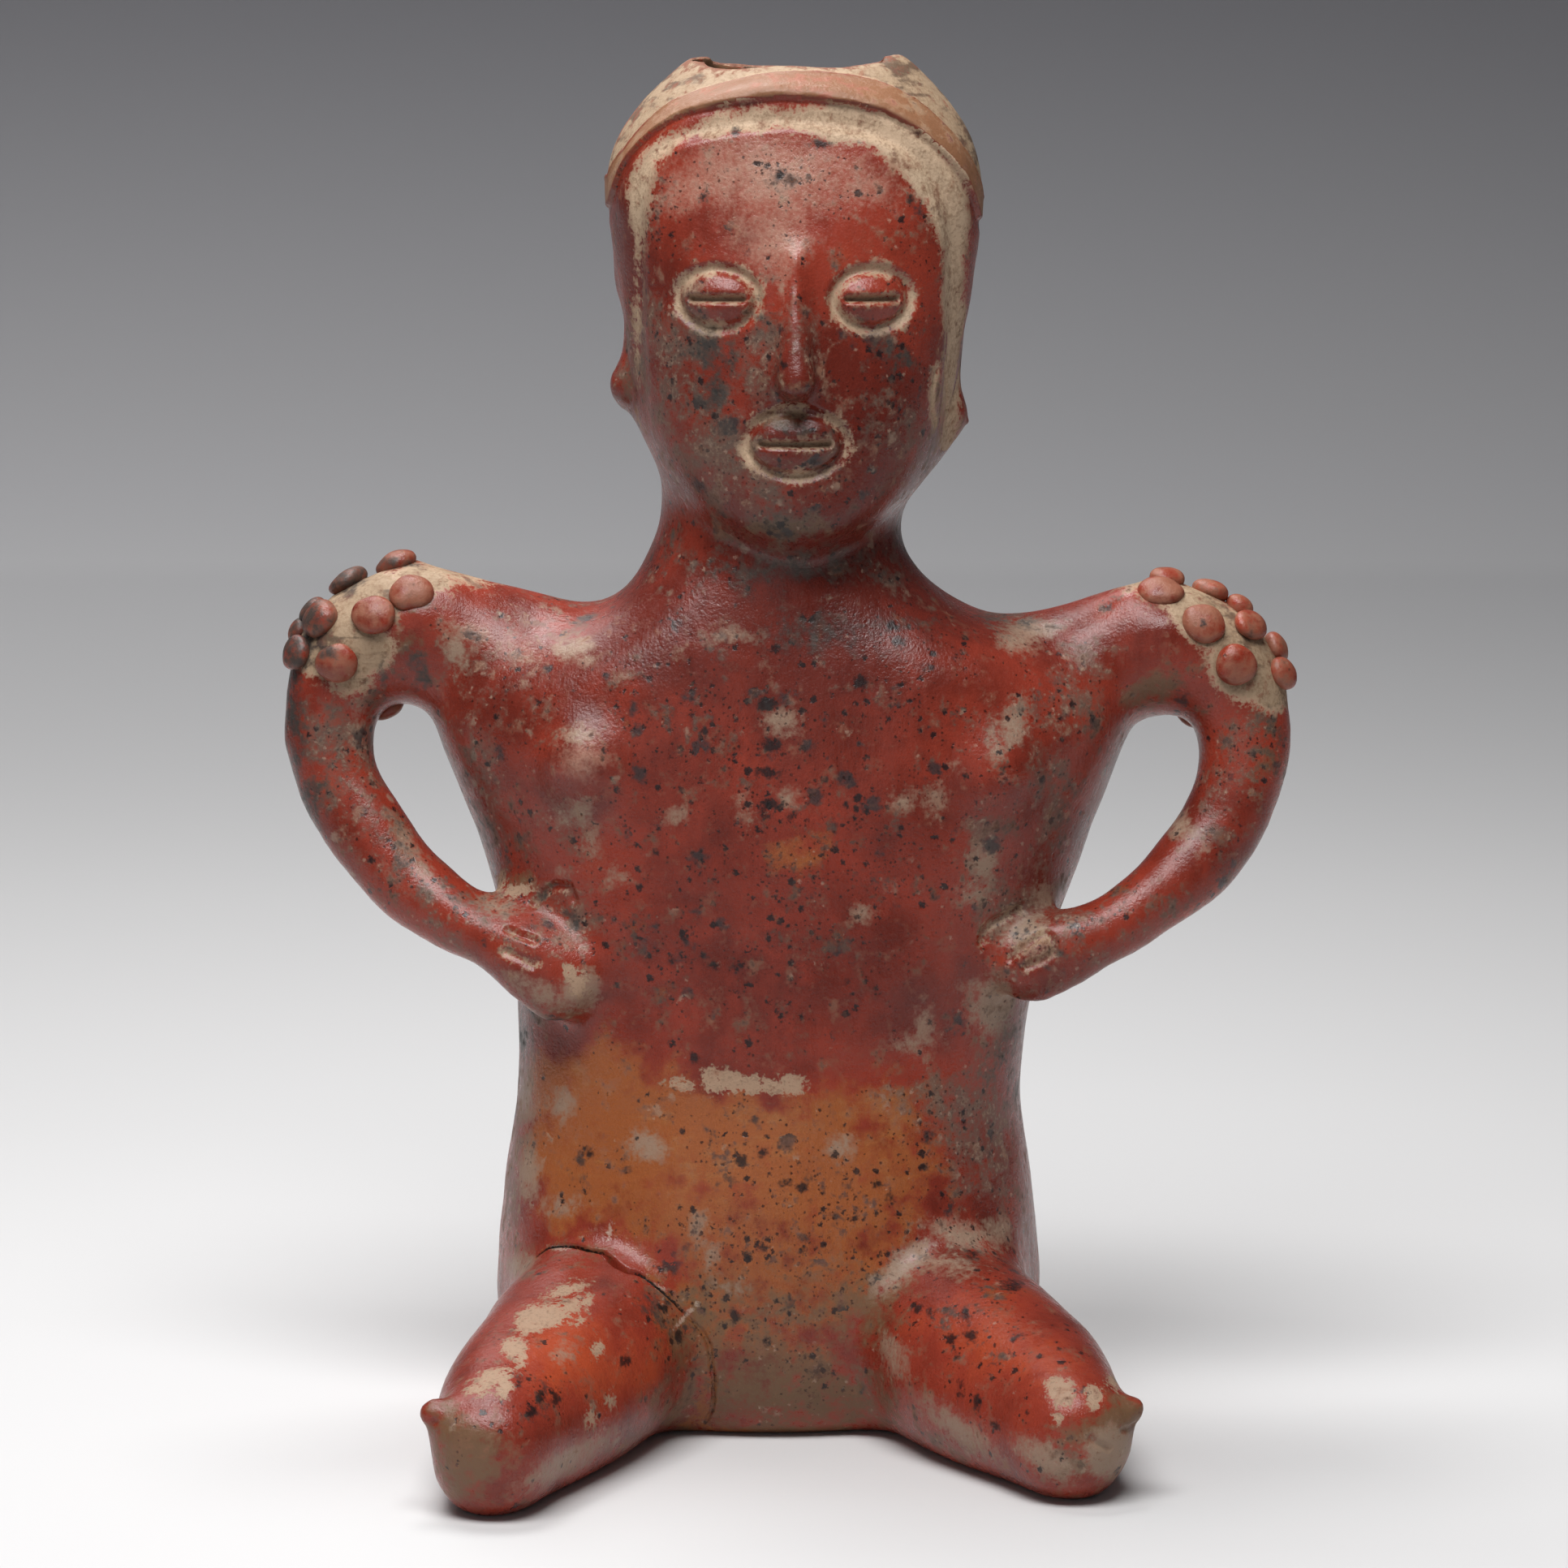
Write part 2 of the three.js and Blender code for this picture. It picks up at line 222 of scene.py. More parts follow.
# How far the hand evened out the clay of each form
EVENED = {
    "body": 9.0, "head": 8.0, "chin": 4.0, "arm": 5.5, "leg": 6.5, "nose": 2.4, "ear": 1.8,
    "hand": 3.2, "toe": 2.0, "shoulder": 8.0, "crown": 2.7,
}
SHOULDER_GROWTH = 1.0  # clay put back on the shoulders, where the solid's pellets were evened out
# Slow waves of a wall that is pinched by hand: their length and their height
WAVES = [(62, 0.34), (38, 0.24), (24, 0.13), (15, 0.06)]
WAVES_EACH = 5  # how many waves of each length, each in a way of its own


def flattening(places):
    """How far, in mm, the hand evened out the clay at each place.

    The ramps run between two heights, widths or depths. The blobs have their radii in mm and the
    softness of their edge.
    """
    x, y, z = places.T
    on_head = rise(z, 244, 256)
    forms = [
        ("head", on_head),
        ("chin", blob(places, CHIN, (34, 30, 12), 0.5)),
        ("arm", rise(np.abs(x), 80, 96) * (1 - on_head)),
        ("leg", (1 - rise(z, 52, 68)) * (1 - rise(y, -8, 16))),
        ("nose", blob(places, NOSE, (8, 18, 27), 0.3)),
    ]
    forms += [("ear", blob(places, ear, (9, 16, 26), 0.5)) for ear in EARS]
    forms += [("hand", blob(places, hand, (20, 22, 18), 0.5)) for hand in HANDS]
    forms += [("toe", blob(places, toe, (10, 10, 9), 0.6)) for toe in TOES]
    forms += [("shoulder", blob(places, middle, (26, 36, 27), 0.4)) for middle in SHOULDERS]
    forms += [("crown", rise(z, 362, 374))]
    reach = np.full(len(places), EVENED["body"])
    for name, there in forms:
        reach += (EVENED[name] - reach) * there
    return reach


def blurred(values, edges, degree, strength, rounds):
    """The values after each has moved some way to its neighbours' mean, over and over."""
    values = values.copy()
    for _ in range(rounds):
        mean = np.empty_like(values)
        for column in range(values.shape[1]):
            gathered = np.bincount(edges[:, 0], values[edges[:, 1], column], len(values))
            mean[:, column] = gathered / degree
        values += (mean - values) * strength[:, None]
    return values


def smooth_clay(mesh):
    """Evens out the facets of the solid, more on the broad forms than on the small ones."""
    places = places_of(mesh)
    edges = edges_of(mesh)
    degree = np.bincount(edges[:, 0], minlength=len(places))
    gap = np.linalg.norm(places[edges[:, 0]] - places[edges[:, 1]], axis=1).mean()
    reach = flattening(places)
    # At half strength, n rounds even the clay out over half the square root of n, in edges.
    rounds = math.ceil(4 * (reach.max() / gap) ** 2)
    strength = 0.5 * (reach / reach.max()) ** 2
    shaped = blurred(places, edges, degree, strength, rounds)
    # What the evening took off the volume goes back on, but for the pellets of the solid.
    missing = blurred(places - shaped, edges, degree, strength, rounds)
    pellets = sum(blob(places, shoulder, (30, 40, 31), 0.4) for shoulder in SHOULDERS)
    pellets = np.clip(pellets, 0, 1)[:, None]
    shaped += missing * (1 - pellets)
    move_to(mesh, shaped)
    move_to(mesh, shaped + normals_of(mesh) * (SHOULDER_GROWTH * pellets))


def walled_in(mesh):
    """True for each vertex on the inner side of the wall, found by spreading up from its floor."""
    places = places_of(mesh)
    edges = edges_of(mesh)
    order = np.argsort(edges[:, 0], kind="stable")
    neighbours = edges[order, 1].tolist()
    starts = np.searchsorted(edges[order, 0], np.arange(len(places) + 1)).tolist()
    normals = normals_of(mesh)
    outward = places[:, :2] - np.array((HEAD_X, HEAD_Y))
    outward /= np.maximum(np.linalg.norm(outward, axis=1, keepdims=True), 1e-6)
    # The lip faces up and the outer side faces out, so neither is passed.
    facing_out = (normals[:, :2] * outward).sum(axis=1)
    inner = (normals[:, 2] < LIP_UPWARD) & (facing_out < LIP_OUTWARD)
    passable = ((places[:, 2] < LIP_BOTTOM - LIP_ZONE) | inner).tolist()
    seed = int(np.argmin(np.linalg.norm(places - np.array(HOLLOW_FLOOR), axis=1)))
    inside = np.zeros(len(places), bool)
    inside[seed] = True
    front = [seed]
    while front:
        found = []
        for vertex in front:
            for other in neighbours[starts[vertex] : starts[vertex + 1]]:
                if passable[other] and not inside[other]:
                    inside[other] = True
                    found.append(other)
        front = found
    return inside


def clay_base():
    """The solid's form on an even grid, smoothed, with no carving on it yet."""
    whole = bmesh.new()
    whole.from_mesh(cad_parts["figure"].data)
    bmesh.ops.remove_doubles(whole, verts=whole.verts, dist=1e-6)
    coarse = bpy.data.meshes.new("coarse")
    whole.to_mesh(coarse)
    whole.free()
    piece = object_of(coarse, "coarse")
    even = piece.modifiers.new("even grid", "REMESH")
    even.mode = "VOXEL"
    even.voxel_size = GRID * MM
    mesh = finished_mesh(piece, "clay")
    smooth_clay(mesh)
    piece = object_of(mesh, "clay")
    finer = piece.modifiers.new("finer grid", "SUBSURF")
    finer.levels = 1
    finer.render_levels = 1
    return finished_mesh(piece, "clay")


# Lines drawn in the clay, as pixels of the photograph. Those of the headband run round its front.
BAND_LOWER_EDGE = [
    (749, 251), (754, 233), (771, 197), (804, 165), (843, 144), (886, 131), (932, 124), (971, 121),
    (1011, 123), (1050, 128), (1089, 138), (1125, 158), (1154, 183), (1179, 211), (1196, 240),
    (1206, 268),
]
BAND_UPPER_EDGE = [
    (751, 215), (771, 181), (793, 154), (821, 133), (854, 117), (889, 106), (929, 97), (971, 92),
    (1011, 90), (1050, 94), (1089, 106), (1125, 124), (1157, 151), (1182, 181), (1200, 211),
    (1209, 240),
]
BAND_DIP = 6  # mm, how much lower the headband runs at the back than at its sides
LOOP_STEPS = 16  # steps that carry a line round the back of the head
CLEAR_OF_HEAD = 90  # mm from the head's axis, outside the clay all round
INWARD_SHARE = 0.7  # how much of a step toward the head's axis counts as a step up

# The crack at the hip, with its width in mm as the third number
CRACK = [
    (662, 1548, 0.3), (677, 1538, 0.6), (700, 1537, 1.1), (714, 1539, 1.2), (726, 1543, 1.1),
    (742, 1545, 1.3), (751, 1553, 2.2), (760, 1561, 2.4), (772, 1568, 1.8), (788, 1572, 1.1),
    (806, 1585, 0.7), (827, 1602, 0.6), (849, 1623, 0.6), (867, 1642, 0.7), (875, 1660, 0.8),
    (876, 1679, 0.8), (879, 1700, 0.8), (879, 1725, 0.8), (876, 1740, 0.7), (870, 1752, 0.7),
    (858, 1765, 0.6),
]
# Lines between the fingers, on the left ear and along the toes
HAND_LINES = [
    [(626, 1143), (640, 1151), (658, 1158)],
    [(622, 1173), (641, 1181), (657, 1190), (662, 1185)],
    [(658, 1112), (667, 1102), (683, 1092), (700, 1094), (706, 1108)],
    [(1244, 1181), (1256, 1170), (1267, 1161), (1287, 1149)],
    [(1287, 1149), (1298, 1160), (1299, 1174), (1286, 1183), (1264, 1192)],
    [(1211, 1160), (1214, 1146), (1224, 1137), (1240, 1129), (1258, 1119)],
]
LEFT_EAR_LINES = [
    [(1152, 455), (1146, 480), (1147, 505), (1153, 522)],
    [(1166, 450), (1170, 480), (1172, 505)],
]
FOOT_CREASES = [
    [(514, 1752), (524, 1756), (536, 1752)],
    [(1344, 1772), (1352, 1779), (1366, 1784)],
    [(1384, 1762), (1398, 1757), (1410, 1748)],
]
# The drawn lines: their depth, their reach to either side, and how far from them the grid is fine
DRAWN_LINES = {
    "finger": (HAND_LINES, 1.2, 2.2, 3.2),
    "ear": (LEFT_EAR_LINES, 0.9, 1.2, 2.5),
    "crease": (FOOT_CREASES, 0.9, 1.7, 3.5),
}
# The breasts' tips, as pixels, with how far each stands out in mm
NIPPLES = [(716, 940, 4.0), (1237, 957, 3.0)]

# More of the relief, all in mm. The rings are round the eyes and the mouth: middle, half size.
NEAR_LINE = 16  # how far from a drawn line its distance is worked out
# How far from each other line the grid is fine
FINE_REACH = {"band": 4, "cord": 3, "ring": 3.5, "crack": 4.5, "groove": 5}
FACE_RINGS = [
    ((HEAD_X - 20.9, 315), (8.4, 5.7)), ((HEAD_X + 20.9, 315), (8.4, 5.7)),
    ((HEAD_X, 275.9), (11.4, 6.8)),
]
RING_GAP = 2.3  # from the oval's edge to the ring
RING_DEPTH = 1.6
RING_REACH = 2.5
OVAL_RISE = 1.5
SLIT_SHARE = 0.78  # how much of the oval's width the slit takes up
SLIT_DEPTH = 2.6
SLIT_REACH = 1.7
BAND_RISE = 1.8
CORD_RISE = 0.6
BAND_GROOVE = 0.9
BAND_FADE = 0.65  # share of the headband's relief that is lost toward its back
FACE_HALF_WIDTH = 43.5
FACE_TAPER = 0.0015  # how fast the groove round the face draws in below its widest place
FACE_WIDEST = 300
GROOVE_BELOW_BAND = 5.4
GROOVE_BEND = 10  # half of the length in which the groove turns down before the ear
GROOVE_DEPTH = 1.7
GROOVE_REACH = 4.4
LOBE_RISE = 2.2
NIPPLE_REACH = 19
CRACK_DEPTH = 1.3

# Pellets pressed onto the shoulders, as pixels, with their radius in mm
RIGHT_PELLETS = [
    (486, 690, 5.6), (427, 716, 5.8), (506, 731, 5.6), (459, 758, 5.7), (393, 763, 5.2),
    (373, 744, 4.8), (415, 817, 5.7), (364, 804, 5.0), (354, 773, 4.4),
]
LEFT_PELLETS = [
    (1431, 729, 5.9), (1438, 712, 4.6), (1492, 726, 5.0), (1482, 769, 5.6), (1541, 770, 5.2),
    (1525, 820, 5.4), (1577, 796, 4.6), (1581, 830, 4.6), (1530, 744, 4.0),
]
# The same behind, where the photograph doesn't reach: across and up in mm, then radius
BACK_PELLETS = [
    (-106, 222, 5.4), (-117, 213, 5.6), (-101, 208, 5.2), (-128, 203, 5.3), (-113, 198, 5.5),
    (107, 221, 5.4), (118, 212, 5.5), (102, 207, 5.3), (129, 201, 5.2), (115, 196, 5.4),
]
PELLETS_FROM = 400  # mm behind the middle, from where their places are looked for
PELLET_SEGMENTS = 36
PELLET_RINGS = 22
PELLET_WIDTH = 1.08  # a pellet's half sizes along the clay, as shares of its radius
PELLET_HEIGHT = 1.02
PELLET_RISE = 3.1  # mm, how far a pellet's top stands over its middle
PELLET_FLATNESS = 0.93  # under 1, so that the top is flatter than a ball's
PELLET_WAVES = (0.7, 3.1)  # the wall's waves on a pellet: how high and how many times shorter

# Lumps of the slip's noises: size in mm, detail, roughness, and how many times longer each way.
# Broad is two fingers' width of slip, cloud a finger of smoke, patch a small fingertip, flake a
# chip of slip, stroke one pass of the pebble and wipe a smear of wet clay. The silt in the clay is
# about 0.3 mm, too fine to show, so grit is drawn three times as coarse.
GRAINS = {
    "broad": (38, 3, 0.5, (1, 1, 1)),
    "cloud": (15, 4, 0.55, (1, 1, 1)),
    "patch": (6.5, 5, 0.6, (1, 1, 1)),
    "flake": (2.6, 5, 0.62, (1, 1, 1)),
    "grit": (0.9, 3, 0.6, (1, 1, 1)),
    "stroke": (2.4, 3, 0.5, (1, 1, 5)),
    "wipe": (2.6, 3, 0.55, (8, 8, 1)),
}
GRAIN_SHIFT = 3.7  # lumps between one noise and the next, so that they don't run together
NOISE_GAIN = 5  # brings a noise from about 0.3 to 0.7 to about -1 to 1
# Dots: the cell that each may lie in and the largest radius in mm, the share of cells with one
# where they are thickest, the softness of the edge, and the mark that they follow. Manganese
# specks go down to 0.1 mm, too fine to show, so pepper is drawn at up to 0.9 mm across.
DOTS = {
    "pepper": (1.3, 0.45, 1.00, 0.12, "specks"),
    "dots": (3.0, 1.15, 0.95, 0.10, "specks"),
    "blots": (8.0, 2.8, 0.75, 0.12, "specks"),
    "flecks": (5.0, 1.5, 0.42, 0.14, "rubbed"),
    "crumbs": (2.2, 0.6, 0.50, 0.12, "rubbed"),
}
DOT_SHIFT = 5.3  # cells between one kind of dot and the next
DOT_WARP = 0.75  # how far a dot's outline strays, as a share of its cell
WARP_SCALE = 3.2  # bends of the outline in a cell
SMALLEST_DOT = 0.25  # as a share of the largest
CLUSTERING = 0.5  # how much the clouds and patches gather the dots
# Each layer over the last: its name and colour, where it starts to show and where it shows most,
# how much it covers at most, the layer that it stays within, and what adds up to it
LAYERS = [
    ("red", "#8f3626", -0.8, 0.35, 1, None,
     {"broad": 0.5, "cloud": 0.4, "stroke": 0.06, "deep": -0.6, "warm": 0.3}),
    ("orange", "#ad4a2a", 0.35, 1.4, 0.8, None,
     {"warm": 1.0, "broad": 0.4, "cloud": 0.4, "stroke": 0.12}),
    # partly painted shade: the deep patches darken the neck, the upper chest and one cheek
    ("wine", "#471a17", 0.2, 1.6, 0.65, None, {"patch": 0.6, "cloud": 0.6, "deep": 0.9}),
    ("ochre", "#99572f", 0.25, 0.85, 0.95, None, {"ochre": 1.0, "cloud": 0.3, "patch": 0.3}),
    ("pale_ochre", "#a97748", 0.9, 1.8, 0.55, None,
     {"ochre": 1.0, "wipe": 0.3, "patch": 0.4, "broad": 0.3}),
    ("veil", "#6f5a49", 0.35, 1.6, 0.34, None,
     {"patch": 0.5, "flake": 0.4, "broad": 0.5, "grit": 0.2}),
    ("haze", "#66564a", 0.55, 1.6, 0.88, None,
     {"rubbed": 1.2, "patch": 0.4, "flake": 0.35, "cloud": 0.35, "grit": 0.15}),
    ("worn", "#a58b75", 1.0, 1.9, 0.72, None,
     {"rubbed": 0.9, "flake": 0.7, "patch": 0.5, "grit": 0.4}),
    # painted highlight as well as thin slip: a pale pink copy of the slip on the high points
    ("thinned_and_highlight", "#b68f7c", 0.55, 2.3, 0.85, None,
     {"thinned_and_highlight": 1.7, "flake": 0.22, "patch": 0.25, "cloud": 0.25, "grit": 0.25}),
    ("brown", "#6f553c", 0.25, 1.0, 0.9, None, {"brown": 1.0, "patch": 0.4, "flake": 0.3}),
    # flaked slip, and painted sheen where the patches lie on the hip crease and the thigh top
    ("faded_and_sheen", "#98806c", -1.6, 2.2, 0.88, None,
     {"faded_and_sheen": 0.8, "flake": 1.3, "grit": 0.7, "patch": 0.9}),
    ("mottle", "#2d2c2c", 0.95, 1.7, 0.72, None,
     {"specks": 0.6, "flake": 0.9, "patch": 0.5, "cloud": 0.4}),
    ("blot", "#2a2e2f", 0, 1, 0.82, None, {"blots": 1.0}),
    ("dot", "#1d1819", 0, 1, 0.92, None, {"dots": 1.0}),
    ("pepper", "#2b120d", 0, 1, 0.85, None, {"pepper": 1.0}),
    ("fleck", "#a08a76", 0, 1, 0.5, None, {"flecks": 1.0}),
    ("crumb", "#b89f8a", 0, 1, 0.4, None, {"crumbs": 1.0}),
    ("bare", "#a98c73", -0.5, 0.6, 0.95, None, {"bare": 1.0, "flake": 1.2, "grit": 0.8}),
    ("bare_dirt", "#7b6450", 0.1, 0.9, 0.5, "bare", {"grit": 1.0, "flake": 0.6}),
    ("cream", "#c3a98d", -1.4, 1.3, 0.95, None,
     {"cream": 1.0, "flake": 1.3, "grit": 1.0, "patch": 0.5}),
    # painted shade: a darker copy of the pale clay on the crown and the pellet beds, which face the
    # lamp above, so that they show less bright than the pale grooves
    ("shaded_cap", "#9c846a", 0.0, 2.0, 0.9, "cream", {"shaded_cap": 1.0}),
    ("cream_dirt", "#84694f", -0.8, 1.4, 0.85, "cream", {"patch": 0.6, "flake": 0.6, "grit": 0.9}),
    ("cream_stain", "#4d392b", 0.5, 1.4, 0.85, "cream",
     {"wipe": 0.8, "patch": 0.8, "shaded_cap": 0.08, "cloud": 0.6}),
    ("cream_red", "#8e4a38", 0.4, 1.3, 0.75, "cream",
     {"broad": 0.7, "flake": 0.5, "patch": 0.6, "shaded_cap": 0.06}),
    ("band", "#885f43", -0.3, 0.3, 0.96, None, {"band": 1.0, "flake": 0.4}),
    ("band_worn", "#a88c70", -0.1, 1.0, 0.85, "band", {"flake": 0.5, "patch": 0.7, "cloud": 0.5}),
    ("band_pink", "#9a5644", 0.0, 0.9, 0.8, "band", {"broad": 0.6, "patch": 0.8, "flake": 0.4}),
    ("band_red", "#74291c", -1.7, -0.7, 0.9, "band", {"band": -1.0, "flake": 0.3, "patch": 0.2}),
    ("seam", "#6b523d", 0.35, 1.1, 0.75, None, {"seam": 1.0, "flake": 0.3, "grit": 0.2}),
    ("pellet", "#94604a", 0.1, 1.6, 0.85, None, {"pellet": 1.0, "patch": 0.8, "flake": 0.5}),
    ("rim", "#7b4a39", 0.25, 0.7, 0.85, None, {"rim": 1.0, "flake": 0.5}),
    # fire clouds, and painted shade where the soot patches darken the neck, chest and one shoulder
    ("soot_and_shade", "#35322f", 0.2, 1.1, 0.92, None,
     {"soot_and_shade": 1.0, "flake": 0.4, "cloud": 0.3, "patch": 0.3}),
    ("spot", "#1a1516", -0.7, 0.7, 0.9, None, {"spots": 1.0, "flake": 0.9, "grit": 0.4}),
    # partly painted highlight on the crack's lips
    ("glint", "#b9a594", -0.2, 0.4, 0.6, None, {"glints": 1.0, "grit": 0.5}),
    ("mend", "#8f5228", 0.5, 1.0, 0.8, None, {"mend": 1.0, "flake": 0.5, "grit": 0.3}),
    ("crack", "#1b110c", -0.15, 0.2, 1, None, {"crack": 1.0, "grit": 0.25}),
]
SLIP_DEEP = "#64241a"  # the slip under all the layers, where it is thickest
EARTHENWARE_IOR = 1.43  # a dry, porous slip, a little under dense fired clay
# What dulls the burnish, each by how much it adds to the roughness
BURNISHED = 0.28
DULLED = {
    "bare": 0.34, "cream": 0.38, "haze": 0.18, "worn": 0.15, "veil": 0.15, "brown": 0.18,
    "mottle": 0.08, "faded_and_sheen": 0.14, "pellet": 0.25, "band": 0.18, "rim": 0.2, "flake": 0.04,
    "stroke": 0.04,
}
# What makes the surface stand up or sink, in units of 0.2 mm
RELIEF_UNIT = 0.2
RELIEF = {
    "bare": -0.5, "cream": -0.3, "grit": 0.15, "flake": 0.18, "stroke": 0.1, "dot": -0.3,
    "faded_and_sheen": -0.2,
}

# The backdrop's tones from the floor to the wall, by the way along it in metres: painted shade,
# darker on the floor in front and toward the top of the wall, where the light falls off
PAPER_TONES_AND_SHADE = [
    (-3.0, "#747376"), (-0.55, "#858487"), (-0.16, "#d6d5d5"), (0.4, "#d7d6d6"), (0.9, "#e0dfdf"),
    (2.28, "#e6e5e6"), (2.46, "#d6d5d7"), (2.6, "#c9c8ca"), (2.83, "#b2b1b4"), (3.09, "#929195"),
    (3.9, "#6e6d70"),
]
PAPER_ROUGHNESS = 0.9
# The backdrop's sizes, in metres
BACKDROP_HALF_WIDTH = 4
FLOOR_FRONT = -7
WALL_START = 2.2
WALL_BEND = 0.5
WALL_HEIGHT = 1.2
BEND_STEPS = 24
# Each lamp's place, what it aims at, its width and depth in mm, and its power in watts
CHEST = (0, 0, 180)
FLOOR_BEHIND = (0, 1900, 0)
LAMPS = [
    ("lamp_above", (-120, -480, 1200), CHEST, 900, 500, 16.3),
    ("lamp_behind", (-160, 300, 1150), CHEST, 500, 300, 6),
    ("lamp_front", (-300, -1500, 400), CHEST, 900, 700, 1.2),
    ("lamp_wall", (-900, 1700, 2000), FLOOR_BEHIND, 2400, 1000, 18),
]
AIR_TONE = "#c9ccd2"
AIR_STRENGTH = 0.10


class Line:
    """A line over the surface, with a width at each point."""

    def __init__(self, points, widths=None):
        self.points = np.array(points, float)
        self.widths = np.ones(len(points)) if widths is None else np.array(widths, float)

    def near(self, places):
        """For each place its distance from the line, the way to it from there, and the width."""
        away = places - self.points.mean(axis=0)
        best = np.full(len(places), 99.0)
        width = np.ones(len(places))
        low = self.points.min(axis=0) - NEAR_LINE
        high = self.points.max(axis=0) + NEAR_LINE
        close = np.nonzero(((places > low) & (places < high)).all(axis=1))[0]
        for index in range(len(self.points) - 1):
            start = self.points[index]
            span = self.points[index + 1] - start
            from_start = places[close] - start
            share = np.clip(from_start @ span / max(span @ span, 1e-9), 0, 1)
            offset = from_start - share[:, None] * span
            distance = np.linalg.norm(offset, axis=1)
            nearer = distance < best[close]
            found = close[nearer]
            best[found] = distance[nearer]
            away[found] = offset[nearer]
            ends = self.widths[index : index + 2]
            width[found] = ends[0] + share[nearer] * (ends[1] - ends[0])
        return best, away, width


class Surface:
    """The clay as the camera sees it, for carrying pixels of the photograph to it."""

    def __init__(self, mesh):
        self.tree = tree_of(mesh)

    def under(self, pixel):
        """The place that shows at a pixel, and the way that the clay faces there."""
        ray = pixel_ray(pixel)
        place, normal, _, _ = self.tree.ray_cast(camera_place, ray)
        if place is None:
            beside = camera_place + ray * CAMERA_DISTANCE
            place, normal, _, _ = self.tree.find_nearest(beside)
        return place, normal

    def line(self, pixels):
        """The line through pixels, each with a width in mm as its third number if it has one."""
        points = [self.under(pixel[:2])[0] for pixel in pixels]
        widths = [pixel[2] if len(pixel) > 2 else 1 for pixel in pixels]
        return Line(points, widths)

    def loop(self, pixels):
        """A line across the front of the head, carried on round its back to its start."""
        points = [self.under(pixel)[0] for pixel in pixels]
        axis = Vector((HEAD_X, HEAD_Y, 0))
        first = points[0] - axis
        last = points[-1] - axis
        start = math.atan2(last.y, last.x)
        turn = math.atan2(first.y, first.x) % (2 * math.pi) - start
        for step in range(1, LOOP_STEPS):
            share = step / LOOP_STEPS
            angle = start + turn * share
            outward = Vector((math.cos(angle), math.sin(angle), 0))
            height = last.z + (first.z - last.z) * share - BAND_DIP * math.sin(math.pi * share)
            outside = axis + outward * CLEAR_OF_HEAD + Vector((0, 0, height))
            points.append(self.tree.ray_cast(outside, -outward)[0])
        return Line(points + points[:1])


def side_of(away, places):
    """1 where the way from a line round the head runs up or in over the crown, or else -1."""
    inward = np.array((HEAD_X, HEAD_Y)) - places[:, :2]
    inward /= np.linalg.norm(inward, axis=1, keepdims=True)
    climb = away[:, 2] + INWARD_SHARE * (away[:, :2] * inward).sum(axis=1)
    return np.where(climb >= 0, 1.0, -1.0)


